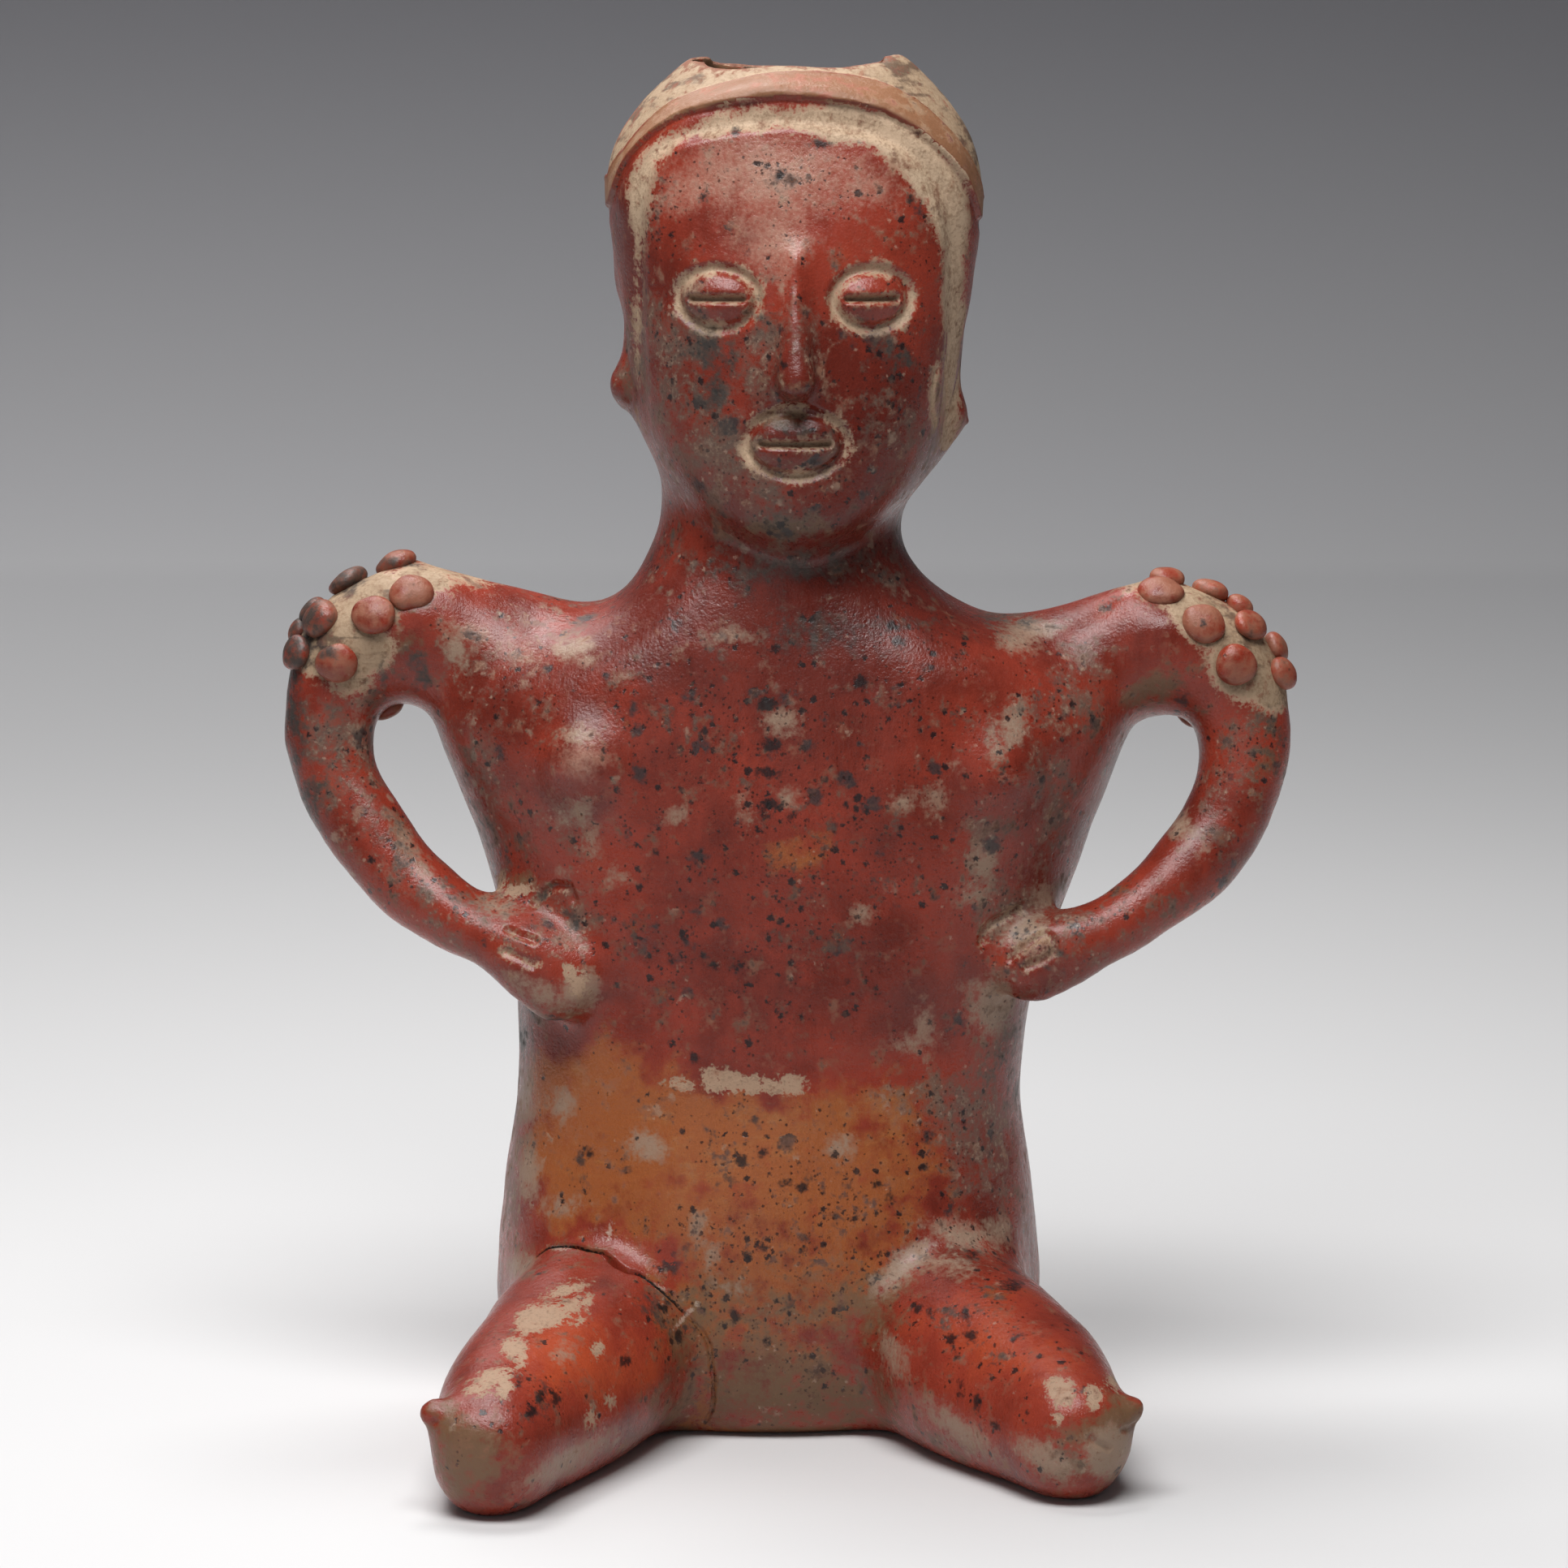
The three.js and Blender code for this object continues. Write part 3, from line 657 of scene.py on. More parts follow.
class Carving:
    """The relief drawn and pressed into the clay, and the distances that its colours follow."""

    def __init__(self, surface):
        self.band_low = surface.loop(BAND_LOWER_EDGE)
        self.band_high = surface.loop(BAND_UPPER_EDGE)
        self.crack = surface.line(CRACK)
        self.lines = {
            name: [surface.line(pixels) for pixels in drawn]
            for name, (drawn, _, _, _) in DRAWN_LINES.items()
        }
        self.nipples = [(np.array(surface.under(tip[:2])[0]), tip[2]) for tip in NIPPLES]

    def read(self, places, normals):
        """The signed distances at each place."""
        x, y, z = places.T
        self.places = places
        self.on_front = rise(-normals[:, 1], *FRONT_TURN) * (y < HEAD_Y)
        self.on_head = rise(z, *HEAD_START)
        distance, away, _ = self.band_low.near(places)
        self.below_band = -distance * side_of(away, places)
        distance, away, _ = self.band_high.near(places)
        self.above_band = distance * side_of(away, places)
        self.front_of_head = self.on_head * (1 - rise(y, *FRONT_END))
        self.rings = []
        for (centre_x, centre_z), (half_width, half_height) in FACE_RINGS:
            across = x - centre_x
            up = z - centre_z
            ring = oval_distance(across, up, half_width + RING_GAP, half_height + RING_GAP)
            slit = np.hypot(np.maximum(np.abs(across) - SLIT_SHARE * half_width, 0), up)
            self.rings.append((ring, slit))
        # The groove round the face runs along the band, and turns down in front of the ears.
        under = GROOVE_BELOW_BAND - self.below_band
        taper = FACE_TAPER * np.maximum(FACE_WIDEST - z, 0) ** 2
        beside = np.abs(x - HEAD_X) - FACE_HALF_WIDTH + taper
        share = np.clip(0.5 + (under - beside) / (2 * GROOVE_BEND), 0, 1)
        bend = GROOVE_BEND * share * (1 - share)
        self.face_edge = beside + (under - beside) * share + bend
        self.face_arch = self.on_front * self.front_of_head * rise(z, *FACE_START)
        self.crack_distance, _, self.crack_width = self.crack.near(places)
        self.drawn = {
            name: np.min([line.near(places)[0] for line in lines], axis=0)
            for name, lines in self.lines.items()
        }

    def zone(self):
        """Where the relief is fine enough to need a finer grid."""
        head = self.on_head > 0.5
        rings = np.min([ring for ring, _ in self.rings], axis=0)
        near_band = np.abs(self.below_band) < FINE_REACH["band"]
        near_band |= np.abs(self.above_band) < FINE_REACH["cord"]
        near_groove = np.abs(self.face_edge) < FINE_REACH["groove"]
        fine = near_band & head
        fine |= (rings < FINE_REACH["ring"]) & (self.on_front > 0.3) & head
        fine |= self.crack_distance < FINE_REACH["crack"]
        fine |= near_groove & (self.face_arch > 0.02)
        for name, (_, _, _, reach) in DRAWN_LINES.items():
            fine |= self.drawn[name] < reach
        return fine

    def height(self):
        """How far the relief stands out of the plain form, in mm.

        Each ramp starts and ends at a distance from its line, in mm.
        """
        below = self.below_band
        band = rise(below, 0.5, -0.5) * rise(self.above_band, 1.2, -0.6)
        relief = BAND_RISE * band
        relief += CORD_RISE * hump(self.above_band + 0.2, 1.3)
        relief -= BAND_GROOVE * rise(below, -0.2, 0.8) * (1 - rise(below, 1.2, 5.0))
        relief *= self.on_head * (1 - BAND_FADE * rise(self.places[:, 1], -5, 28))
        relief -= GROOVE_DEPTH * hump(self.face_edge, GROOVE_REACH) * self.face_arch
        carved = self.on_front * self.on_head
        for ring, slit in self.rings:
            relief -= RING_DEPTH * hump(ring, RING_REACH) * carved
            relief += OVAL_RISE * (1 - rise(ring, -6.5, -1.0)) * carved
            relief -= SLIT_DEPTH * hump(slit, SLIT_REACH) * carved
        relief += LOBE_RISE * blob(self.places, RIGHT_LOBE, (9, 18, 14), 1.4)
        for tip, height in self.nipples:
            relief += height * hump(np.linalg.norm(self.places - tip, axis=1), NIPPLE_REACH)
        for name, (_, depth, reach, _) in DRAWN_LINES.items():
            relief -= depth * hump(self.drawn[name], reach)
        reach = 0.5 + 0.5 * self.crack_width
        relief -= CRACK_DEPTH * self.crack_width ** 1.4 * hump(self.crack_distance, reach)
        return relief


def uneven(places, height=1, shorter=1):
    """The slow unevenness of a wall pinched by hand, in mm, or that much higher and shorter."""
    places = places * shorter
    waves = np.random.default_rng(41)
    total = np.zeros(len(places))
    for length, swing in WAVES:
        for _ in range(WAVES_EACH):
            way = waves.normal(size=3)
            way *= 2 * math.pi / length / np.linalg.norm(way)
            wave = np.sin(places @ way + waves.uniform(0, 2 * math.pi))
            total += swing * wave / math.sqrt(WAVES_EACH / 2)
    return height * total


def refine(mesh, wanted):
    """Splits the faces in a zone once each way, so that fine relief has an edge."""
    fine = bmesh.new()
    fine.from_mesh(mesh)
    inside = wanted.tolist()
    edges = [edge for edge in fine.edges if any(inside[end.index] for end in edge.verts)]
    bmesh.ops.subdivide_edges(fine, edges=edges, cuts=1, use_grid_fill=True, smooth=0)
    fine.to_mesh(mesh)
    fine.free()


def keep_in_box(places):
    """Holds the clay inside the solid's own box, with a flat underside on the floor."""
    low = np.array(cad_low) / MM
    high = np.array(cad_high) / MM
    return np.clip(places, low, high)


def thin(mesh, weights, share, name):
    """Takes out faces where the surface is plain, most where the weight is highest."""
    piece = object_of(mesh, name)
    group = piece.vertex_groups.new(name="may thin")
    for level in np.unique(weights):
        group.add(np.nonzero(weights == level)[0].tolist(), float(level), "REPLACE")
    fewer = piece.modifiers.new("fewer faces", "DECIMATE")
    fewer.ratio = share
    fewer.use_collapse_triangulate = True
    fewer.vertex_group = group.name
    return finished_mesh(piece, name)


def face_total(mesh):
    """How many triangles the mesh has."""
    return sum(len(face.vertices) - 2 for face in mesh.polygons)


def build_clay(surface, mesh, patches):
    """The figure's mesh with its relief, thinned to the faces that it needs."""
    carving = Carving(surface)
    carving.read(places_of(mesh), normals_of(mesh))
    refine(mesh, carving.zone())
    places = places_of(mesh)
    normals = normals_of(mesh)
    carving.read(places, normals)
    inside = walled_in(mesh)
    height = np.where(inside, 0, carving.height()) + uneven(places)
    height *= rise(places[:, 2], *FLOOR_FADE)
    move_to(mesh, places + normals * height[:, None])
    # The wall's inner side first, then the plain parts of the outer side.
    share = 1 - INNER_SHARE * inside.mean()
    mesh = thin(mesh, np.where(inside, 1.0, 0.0), share, "figure_clay")
    places = places_of(mesh)
    carving.read(places, normals_of(mesh))
    kept = carving.zone() | patches.edges_near(places)
    kept &= ~walled_in(mesh)
    share = FIGURE_FACES / face_total(mesh)
    if share < 1:
        mesh = thin(mesh, np.where(kept, FINE_WEIGHT, EVEN_WEIGHT), share, "figure_clay")
    clean = bmesh.new()
    clean.from_mesh(mesh)
    bmesh.ops.dissolve_degenerate(clean, dist=SLIVER * MM, edges=clean.edges)
    bmesh.ops.triangulate(clean, faces=clean.faces)
    lip = [vertex for vertex in clean.verts if vertex.co.z > LIP_BOTTOM * MM]
    all_ways = {"use_axis_x": True, "use_axis_y": True, "use_axis_z": True}
    for _ in range(LIP_ROUNDS):
        bmesh.ops.smooth_vert(clean, verts=lip, factor=LIP_SMOOTHING, **all_ways)
    clean.to_mesh(mesh)
    clean.free()
    move_to(mesh, keep_in_box(places_of(mesh)))
    return mesh, carving


def pellet_seats(surface, pixels, side):
    """Where one shoulder's pellets sit: each place, the way that the clay faces and the radius."""
    seats = [(*surface.under(pixel[:2]), pixel[2]) for pixel in pixels]
    for across, up, radius in BACK_PELLETS:
        if across * side > 0:
            start = Vector((across, PELLETS_FROM, up))
            place, normal, _, _ = surface.tree.ray_cast(start, Vector((0, -1, 0)))
            seats.append((place, normal, radius))
    return seats


def build_pellets(seats, name):
    """The clay pellets of one shoulder, flattened as they were pressed on."""
    whole = bmesh.new()
    for place, normal, radius in seats:
        turn = normal.to_track_quat("Z", "Y").to_matrix().to_4x4()
        half_sizes = (PELLET_WIDTH * radius * MM, PELLET_HEIGHT * radius * MM, PELLET_RISE * MM, 1)
        made = bmesh.ops.create_uvsphere(
            whole, u_segments=PELLET_SEGMENTS, v_segments=PELLET_RINGS, radius=1
        )["verts"]
        for vertex in made:
            flatter = abs(vertex.co.z) ** PELLET_FLATNESS
            vertex.co.z = math.copysign(flatter, vertex.co.z)
        to_seat = Matrix.Translation(place * MM) @ turn @ Matrix.Diagonal(half_sizes)
        bmesh.ops.transform(whole, matrix=to_seat, verts=made)
    mesh = bpy.data.meshes.new(name)
    whole.to_mesh(mesh)
    whole.free()
    places = places_of(mesh)
    height = uneven(places, *PELLET_WAVES)
    move_to(mesh, keep_in_box(places + normals_of(mesh) * height[:, None]))
    return object_of(mesh, name)


# Where the surface is worn, stained or left bare, and where highlights and shade are painted on
# it. Each patch is its pixels across and down the photograph, half its width and height, and its
# tilt in degrees anticlockwise.
EDGED_PATCHES = {
    # the slip has flaked off the buff body
    "bare": [
        (839, 1336, 17, 8, 0), (877, 1331, 15, 16, 0), (900, 1333, 20, 15, 0),
        (925, 1336, 22, 12, 0), (950, 1338, 18, 10, 0), (975, 1336, 20, 13, 0),
        (655, 1625, 22, 17, 25), (680, 1620, 22, 14, 0), (703, 1610, 18, 9, 20),
        (712, 1628, 8, 5, 0), (722, 1605, 9, 6, 60), (697, 1590, 23, 6, 15), (633, 1660, 17, 10, 0),
        (642, 1673, 8, 10, 0), (736, 1660, 7, 10, 0), (608, 1697, 26, 9, 12),
        (588, 1712, 14, 7, 10), (622, 1708, 10, 13, 0), (752, 1724, 5, 8, 0), (728, 1748, 5, 12, 0),
        (1297, 1706, 10, 9, 0), (1308, 1716, 16, 17, -20), (1348, 1722, 12, 14, 0),
        (1372, 1703, 9, 6, -35), (1303, 1747, 6, 7, 0), (713, 1212, 12, 18, 0),
        (700, 1196, 8, 9, 0), (640, 1096, 22, 8, 10), (617, 1088, 8, 14, 0),
    ],
    # the body shows through the slip in small flakes, and painted sheen on the hip crease and the
    # thigh top at the viewer's right
    "faded_and_sheen": [
        (716, 1220, 24, 26, -20), (664, 1222, 36, 12, -24), (1262, 1146, 32, 20, 20),
        (1226, 1240, 26, 40, 0), (1366, 1790, 36, 34, 0), (693, 1361, 16, 20, 0),
        (797, 1412, 24, 18, 0), (1037, 1413, 18, 15, 0), (651, 1443, 16, 34, 0),
        (696, 1485, 24, 9, 8), (862, 1510, 13, 18, 0), (875, 1548, 9, 15, 0), (902, 1588, 13, 6, 0),
        (1138, 1268, 10, 24, 0), (1124, 1286, 20, 8, 0), (1102, 1672, 14, 24, 20),
        (1230, 1515, 26, 12, -10), (1176, 1560, 22, 9, -10), (1202, 1246, 9, 16, 0),
        (1204, 1216, 20, 8, 0), (1288, 1104, 18, 11, -20), (1321, 1142, 9, 8, 0),
        (1226, 1138, 12, 6, 30), (694, 1668, 10, 9, 0), (724, 1226, 10, 16, 0),
        (614, 1118, 22, 10, -15), (768, 1083, 8, 7, 0), (690, 1075, 6, 5, 0),
        (697, 800, 16, 16, 20), (720, 800, 12, 20, 30), (714, 905, 16, 12, 0),
        (716, 1000, 14, 18, 10), (690, 1010, 14, 8, 0), (730, 1040, 8, 16, 0),
        (560, 800, 13, 26, 15), (1250, 890, 14, 34, -20), (1228, 925, 10, 22, 0),
        (1212, 1062, 18, 22, 0), (1200, 1102, 22, 12, 0), (1455, 1020, 15, 22, 20),
        (1480, 1047, 8, 10, 0), (1270, 775, 34, 14, 0), (1250, 790, 20, 14, 0),
        (1154, 985, 8, 16, 0), (1115, 985, 14, 12, 0), (500, 1035, 9, 24, 35),
        (520, 1070, 8, 22, 40), (440, 900, 6, 20, 0), (1062, 1125, 15, 9, 0), (972, 982, 14, 12, 0),
        (960, 890, 22, 16, 0), (918, 1000, 7, 18, 10), (835, 1005, 12, 8, 0), (1100, 1093, 9, 7, 0),
        (1150, 620, 10, 16, 0), (765, 833, 10, 6, 0), (838, 808, 6, 6, 0), (754, 1080, 6, 8, 0),
        (1175, 945, 6, 6, 0), (895, 785, 22, 6, 0), (1112, 1560, 42, 16, 35),
        (1190, 1522, 46, 12, -12), (628, 1350, 12, 34, 0), (640, 1560, 30, 14, 20),
        (1290, 1800, 40, 18, -30), (700, 1800, 60, 16, 18), (1180, 1760, 50, 16, -30),
        (1140, 225, 24, 26, -40),
    ],
    # beds of pale clay that the pellets were pressed into
    "cream": [
        (440, 742, 62, 44, 20), (400, 790, 48, 42, 35), (445, 800, 40, 34, 0),
        (520, 712, 40, 20, -10), (560, 704, 40, 12, -14), (385, 775, 36, 60, 25),
        (430, 840, 26, 14, 0), (1440, 718, 46, 26, 0), (1485, 760, 60, 34, -40),
        (1545, 790, 52, 38, -45), (1580, 830, 30, 34, -60), (1410, 715, 30, 14, 20),
        (1532, 822, 46, 40, -45), (1566, 856, 26, 22, -30),
    ],
    # large spots of manganese, placed one by one
    "spots": [
        (855, 1303, 8, 7, 0), (912, 1430, 10, 7, 0), (940, 1420, 6, 6, 0), (911, 1428, 5, 5, 0),
        (968, 1457, 7, 5, 0), (988, 1463, 6, 6, 0), (1080, 1458, 5, 5, 0), (1096, 1478, 4, 6, 0),
        (1053, 1502, 5, 4, 0), (1198, 1546, 7, 4, 0), (1248, 1584, 11, 5, -5),
        (1131, 1612, 6, 5, 0), (1147, 1615, 4, 6, 30), (1190, 1621, 5, 8, 40),
        (1196, 1645, 7, 7, 0), (1172, 1650, 7, 6, 0), (1177, 1667, 3, 4, 0), (1184, 1712, 3, 9, 0),
        (1204, 1730, 4, 8, 0), (1225, 1757, 5, 5, 0), (951, 917, 12, 8, 0), (946, 868, 14, 9, 0),
        (1060, 840, 8, 8, 0), (955, 800, 6, 5, 0), (950, 990, 12, 6, 0), (943, 1003, 7, 5, 0),
        (950, 952, 15, 5, 0), (868, 900, 5, 5, 0), (845, 1156, 4, 5, 0), (880, 1190, 6, 4, 0),
        (910, 1190, 6, 4, 0), (826, 1185, 5, 4, 0), (1100, 770, 7, 6, 0), (1235, 945, 7, 5, 0),
        (975, 1005, 5, 4, 0), (810, 1050, 4, 4, 0), (667, 1722, 5, 8, 0), (655, 1738, 6, 7, 0),
        (683, 1722, 5, 8, 20), (640, 1702, 7, 4, -40), (770, 1678, 6, 6, 0), (868, 243, 5, 7, 0),
        (1122, 244, 4, 6, 0), (1012, 178, 10, 5, 0), (906, 163, 6, 6, 0), (965, 449, 4, 4, 0),
        (1481, 769, 4, 5, 0), (820, 1610, 6, 7, 0), (836, 1645, 5, 8, 0), (905, 1620, 8, 8, 0),
        (947, 1655, 4, 5, 0), (725, 1420, 6, 6, 0), (920, 1548, 6, 5, 0), (942, 1538, 6, 4, 0),
        (990, 1540, 4, 4, 0), (1045, 1210, 5, 4, 0),
    ],
    # pale broken edges along the crack, and painted highlights where its lips catch the light
    "glints": [
        (752, 1516, 4, 13, -20), (690, 1537, 16, 3, 5), (846, 1620, 3, 26, -44),
        (812, 1586, 10, 3, -30),
    ],
}
# Soft patches are given the same way, with how strongly each shows as the last number.
SOFT_PATCHES = {
    # the belly's paler slip
    "ochre": [
        (1130, 1440, 50, 60, 0, 0.55), (1110, 1360, 60, 40, 0, 0.5), (690, 1345, 80, 60, 0, 0.9),
        (680, 1430, 60, 60, 0, 0.85), (700, 1500, 60, 36, 0, 0.7), (860, 1640, 60, 60, 0, 0.6),
        (1000, 1590, 90, 50, 0, 0.7), (740, 1335, 100, 55, 0, 0.9), (800, 1400, 130, 70, 0, 1.0),
        (930, 1400, 150, 70, 0, 1.0), (1060, 1400, 90, 80, 0, 0.8), (850, 1480, 130, 60, 0, 0.9),
        (980, 1480, 110, 60, 0, 0.9), (900, 1570, 110, 60, 0, 0.8), (1060, 1540, 60, 60, 0, 0.7),
        (960, 1640, 100, 70, 0, 0.6), (760, 1440, 90, 60, 0, 0.7), (1100, 1470, 60, 60, 0, 0.5),
        (980, 1050, 60, 40, 0, 0.5),
    ],
    # slip that fired to orange
    "warm": [
        (1500, 770, 90, 60, -35, 0.9), (690, 1660, 120, 60, 30, 0.9), (780, 1690, 90, 60, 0, 0.8),
        (1200, 1640, 110, 70, -30, 0.9), (1300, 1690, 90, 50, -30, 0.8),
        (980, 1440, 40, 40, 0, 0.9), (1110, 1080, 220, 60, 0, 0.25), (800, 1130, 90, 60, 0, 0.2),
        (430, 1030, 50, 140, 25, 0.25), (1490, 1100, 120, 60, 35, 0.4),
        (1227, 1187, 22, 18, 0, 0.8), (700, 1165, 20, 12, 0, 0.7), (1040, 150, 220, 30, 0, 0.5),
    ],
    # slip that fired to a deep wine red, and painted shade under the chin, on the neck, the upper
    # chest and the cheek at the viewer's right
    "deep": [
        (1000, 805, 200, 60, 0, 1.0), (960, 740, 330, 110, 0, 0.8), (960, 480, 200, 130, 0, 0.75),
        (960, 640, 120, 50, 0, 0.5), (960, 800, 300, 90, 0, 0.8), (960, 700, 200, 50, 0, 0.9),
        (1090, 540, 60, 120, 0, 0.8), (430, 1000, 80, 160, 20, 0.5), (1500, 1060, 90, 160, 20, 0.6),
        (850, 480, 60, 120, 0, 0.6), (960, 1200, 200, 110, 0, 0.9), (900, 1000, 170, 140, 0, 0.5),
        (1130, 1250, 90, 60, 0, 0.6), (1000, 860, 200, 80, 0, 0.4), (1090, 460, 60, 60, 0, 0.6),
        (1050, 240, 90, 60, 0, 0.4), (780, 1210, 60, 90, 0, 0.4), (1160, 960, 60, 110, 0, 0.5),
        (740, 1760, 60, 20, 0, 0.5),
    ],
    # the burnish is worn to a greyish brown
    "rubbed": [
        (598, 990, 26, 150, 15, 0.9), (1305, 1000, 26, 140, -15, 0.8), (700, 1250, 50, 30, 0, 0.8),
        (960, 646, 110, 22, 0, 1.0), (525, 1112, 40, 36, -40, 1.0), (770, 462, 26, 46, 0, 1.0),
        (1440, 1120, 50, 26, 30, 0.7), (960, 430, 230, 230, 0, 0.5), (800, 250, 40, 60, 0, 0.6),
        (1130, 260, 40, 60, 0, 0.6), (1205, 1010, 40, 60, 0, 0.8), (700, 1000, 40, 60, 0, 0.6),
        (1330, 850, 60, 80, -20, 0.9), (650, 770, 60, 80, 10, 0.7), (700, 1150, 50, 60, 20, 0.8),
        (1290, 1130, 70, 50, 10, 0.8), (600, 860, 40, 60, 0, 0.5), (830, 480, 80, 110, 0, 0.9),
        (1110, 540, 50, 80, 0, 0.7), (950, 590, 120, 40, 0, 0.8), (400, 960, 50, 90, 20, 0.8),
        (450, 1060, 40, 60, 35, 0.7), (1540, 980, 40, 90, 15, 0.7), (1215, 1390, 70, 110, 0, 1.0),
        (640, 1400, 26, 130, 0, 0.9), (1200, 470, 30, 90, 0, 0.8), (850, 340, 26, 60, 0, 0.6),
        (905, 540, 60, 40, 0, 0.9), (1010, 560, 60, 30, 0, 0.7), (380, 900, 24, 90, 10, 0.9),
        (660, 880, 50, 70, 10, 0.6), (1330, 830, 50, 50, -20, 0.7), (960, 690, 150, 40, 0, 0.7),
        (840, 690, 40, 50, 0, 0.6), (1100, 700, 50, 60, 0, 0.6), (1240, 750, 80, 40, 0, 0.8),
        (700, 790, 60, 40, 0, 0.7), (570, 820, 60, 60, 0, 0.7), (700, 1010, 60, 50, 0, 0.8),
        (600, 960, 40, 90, 20, 0.8), (1230, 900, 60, 70, 0, 0.8), (1210, 1070, 50, 70, 0, 0.8),
        (1290, 980, 40, 120, 0, 0.9), (650, 1240, 40, 80, 0, 1.0), (1240, 1260, 40, 90, 0, 1.0),
        (1180, 1360, 80, 60, 0, 1.0), (1220, 1430, 60, 60, 0, 1.0), (1110, 1345, 60, 30, 0, 0.8),
        (630, 1460, 30, 90, 0, 1.0), (1260, 1500, 30, 60, 0, 0.6), (860, 560, 60, 60, 0, 0.9),
        (830, 430, 50, 80, 0, 1.0), (930, 440, 40, 60, 0, 0.9), (1000, 430, 40, 60, 0, 0.8),
        (790, 400, 30, 80, 0, 0.8), (920, 610, 60, 40, 0, 0.5), (960, 215, 60, 60, 0, 0.35),
        (890, 230, 50, 40, 0, 0.35), (1140, 560, 40, 60, 0, 0.6), (690, 1110, 50, 50, 0, 1.0),
        (1260, 1130, 60, 50, 0, 1.0), (1300, 1170, 40, 30, 0, 0.7), (420, 900, 60, 60, 0, 0.9),
        (450, 980, 30, 60, 30, 0.6), (1540, 900, 60, 60, 0, 0.8), (1500, 1000, 40, 90, 20, 0.6),
        (1400, 760, 60, 50, 0, 0.5), (600, 1130, 60, 30, -35, 0.7), (560, 1160, 60, 24, -30, 0.9),
        (1360, 1200, 80, 24, 25, 0.7), (960, 1620, 90, 60, 0, 0.9), (960, 1720, 110, 50, 0, 1.0),
        (1060, 1700, 40, 60, 0, 1.0), (1180, 1545, 60, 30, -20, 1.0), (820, 1600, 50, 40, -40, 0.8),
        (760, 1780, 120, 30, 15, 1.0), (1180, 1780, 100, 30, -15, 1.0),
        (700, 1830, 90, 30, 10, 1.0), (1320, 1800, 60, 40, 0, 0.8), (640, 1330, 26, 60, 0, 0.8),
    ],
    # the slip is worn thin and pinkish, and painted highlights where the lamp shines on the
    # forehead, the breasts, the shoulders and the thigh tops
    "thinned_and_highlight": [
        (950, 215, 180, 84, 0, 1.0), (950, 300, 70, 50, 0, 0.8), (1080, 230, 60, 40, -30, 0.6),
        (840, 240, 50, 30, 30, 0.6), (950, 300, 50, 60, 0, 0.5), (718, 938, 50, 46, 0, 1.0),
        (1237, 957, 26, 26, 0, 0.6), (590, 780, 90, 26, -14, 0.7), (660, 810, 60, 40, 0, 0.6),
        (1185, 1518, 70, 24, -20, 0.9), (1340, 770, 70, 20, 14, 0.5), (1290, 1120, 60, 30, 20, 0.5),
        (700, 1150, 40, 50, 30, 0.6), (640, 1090, 30, 12, 20, 0.7), (1450, 1110, 70, 14, 34, 0.4),
        (490, 1090, 90, 22, -42, 0.5), (965, 360, 10, 70, 0, 0.6), (640, 1565, 60, 20, 20, 0.5),
    ],
    # stains of earth
    "brown": [
        (1562, 925, 30, 80, 0, 0.6), (772, 476, 18, 30, 0, 0.6), (960, 648, 80, 14, 0, 0.6),
        (1380, 1800, 70, 60, 0, 0.7), (706, 1252, 50, 22, -10, 0.5), (1230, 1244, 40, 50, 0, 0.6),
        (865, 1620, 50, 60, 0, 0.8), (1070, 1610, 50, 60, 0, 0.8), (960, 1720, 200, 40, 0, 0.8),
        (566, 1790, 46, 60, 0, 1.0), (540, 1740, 30, 30, 0, 0.9), (1370, 1760, 60, 30, 0, 0.9),
        (1340, 1790, 50, 50, 0, 0.6), (965, 520, 40, 16, 0, 1.0), (1420, 850, 60, 26, 20, 1.0),
        (640, 1085, 30, 14, 20, 0.9), (1308, 1093, 16, 14, 0, 1.0), (500, 800, 40, 30, 0, 0.7),
        (960, 470, 60, 20, 0, 0.4), (1120, 1560, 30, 50, -30, 0.7), (960, 1765, 160, 16, 0, 0.9),
        (830, 1750, 50, 26, -40, 0.6), (640, 1535, 60, 20, 10, 0.6), (845, 1640, 30, 60, -40, 0.6),
        (575, 1810, 60, 66, 0, 1.0), (960, 1610, 150, 80, 0, 0.6), (950, 1700, 130, 60, 0, 0.7),
        (1050, 1730, 70, 40, 0, 0.7), (1390, 1740, 40, 26, -30, 1.0), (730, 1545, 70, 16, 0, 0.6),
        (950, 660, 130, 20, 0, 0.5), (1150, 620, 16, 60, -20, 0.8), (1170, 470, 16, 60, 0, 0.8),
    ],
    # grey clouds from the fire, and painted shade on the neck, the upper chest and the shoulder at
    # the viewer's right
    "soot_and_shade": [
        (592, 980, 22, 140, 15, 0.35), (1312, 1000, 22, 140, -15, 0.35),
        (1275, 770, 60, 26, 0, 0.4), (1000, 800, 130, 40, 0, 0.3), (350, 870, 16, 60, 0, 0.95),
        (362, 960, 14, 60, 12, 0.85), (380, 1030, 14, 50, 20, 0.6), (880, 480, 14, 40, 0, 0.7),
        (905, 440, 12, 30, 0, 0.6), (965, 528, 30, 14, 0, 0.8), (1300, 845, 50, 24, 20, 0.5),
        (1265, 880, 30, 20, 0, 0.4), (362, 860, 16, 60, 0, 0.9), (366, 920, 16, 50, -8, 0.9),
        (385, 975, 14, 40, -20, 0.7), (508, 812, 24, 26, 0, 1.0), (470, 830, 12, 26, 0, 0.8),
        (522, 838, 10, 18, 0, 0.9), (427, 712, 34, 26, 0, 1.0), (392, 760, 30, 26, 0, 0.95),
        (365, 802, 28, 34, 0, 1.0), (350, 768, 14, 34, 0, 1.0), (372, 742, 16, 24, 0, 0.9),
        (482, 686, 34, 13, 0, 0.9), (404, 806, 16, 12, 0, 0.8), (698, 1126, 9, 10, 0, 1.0),
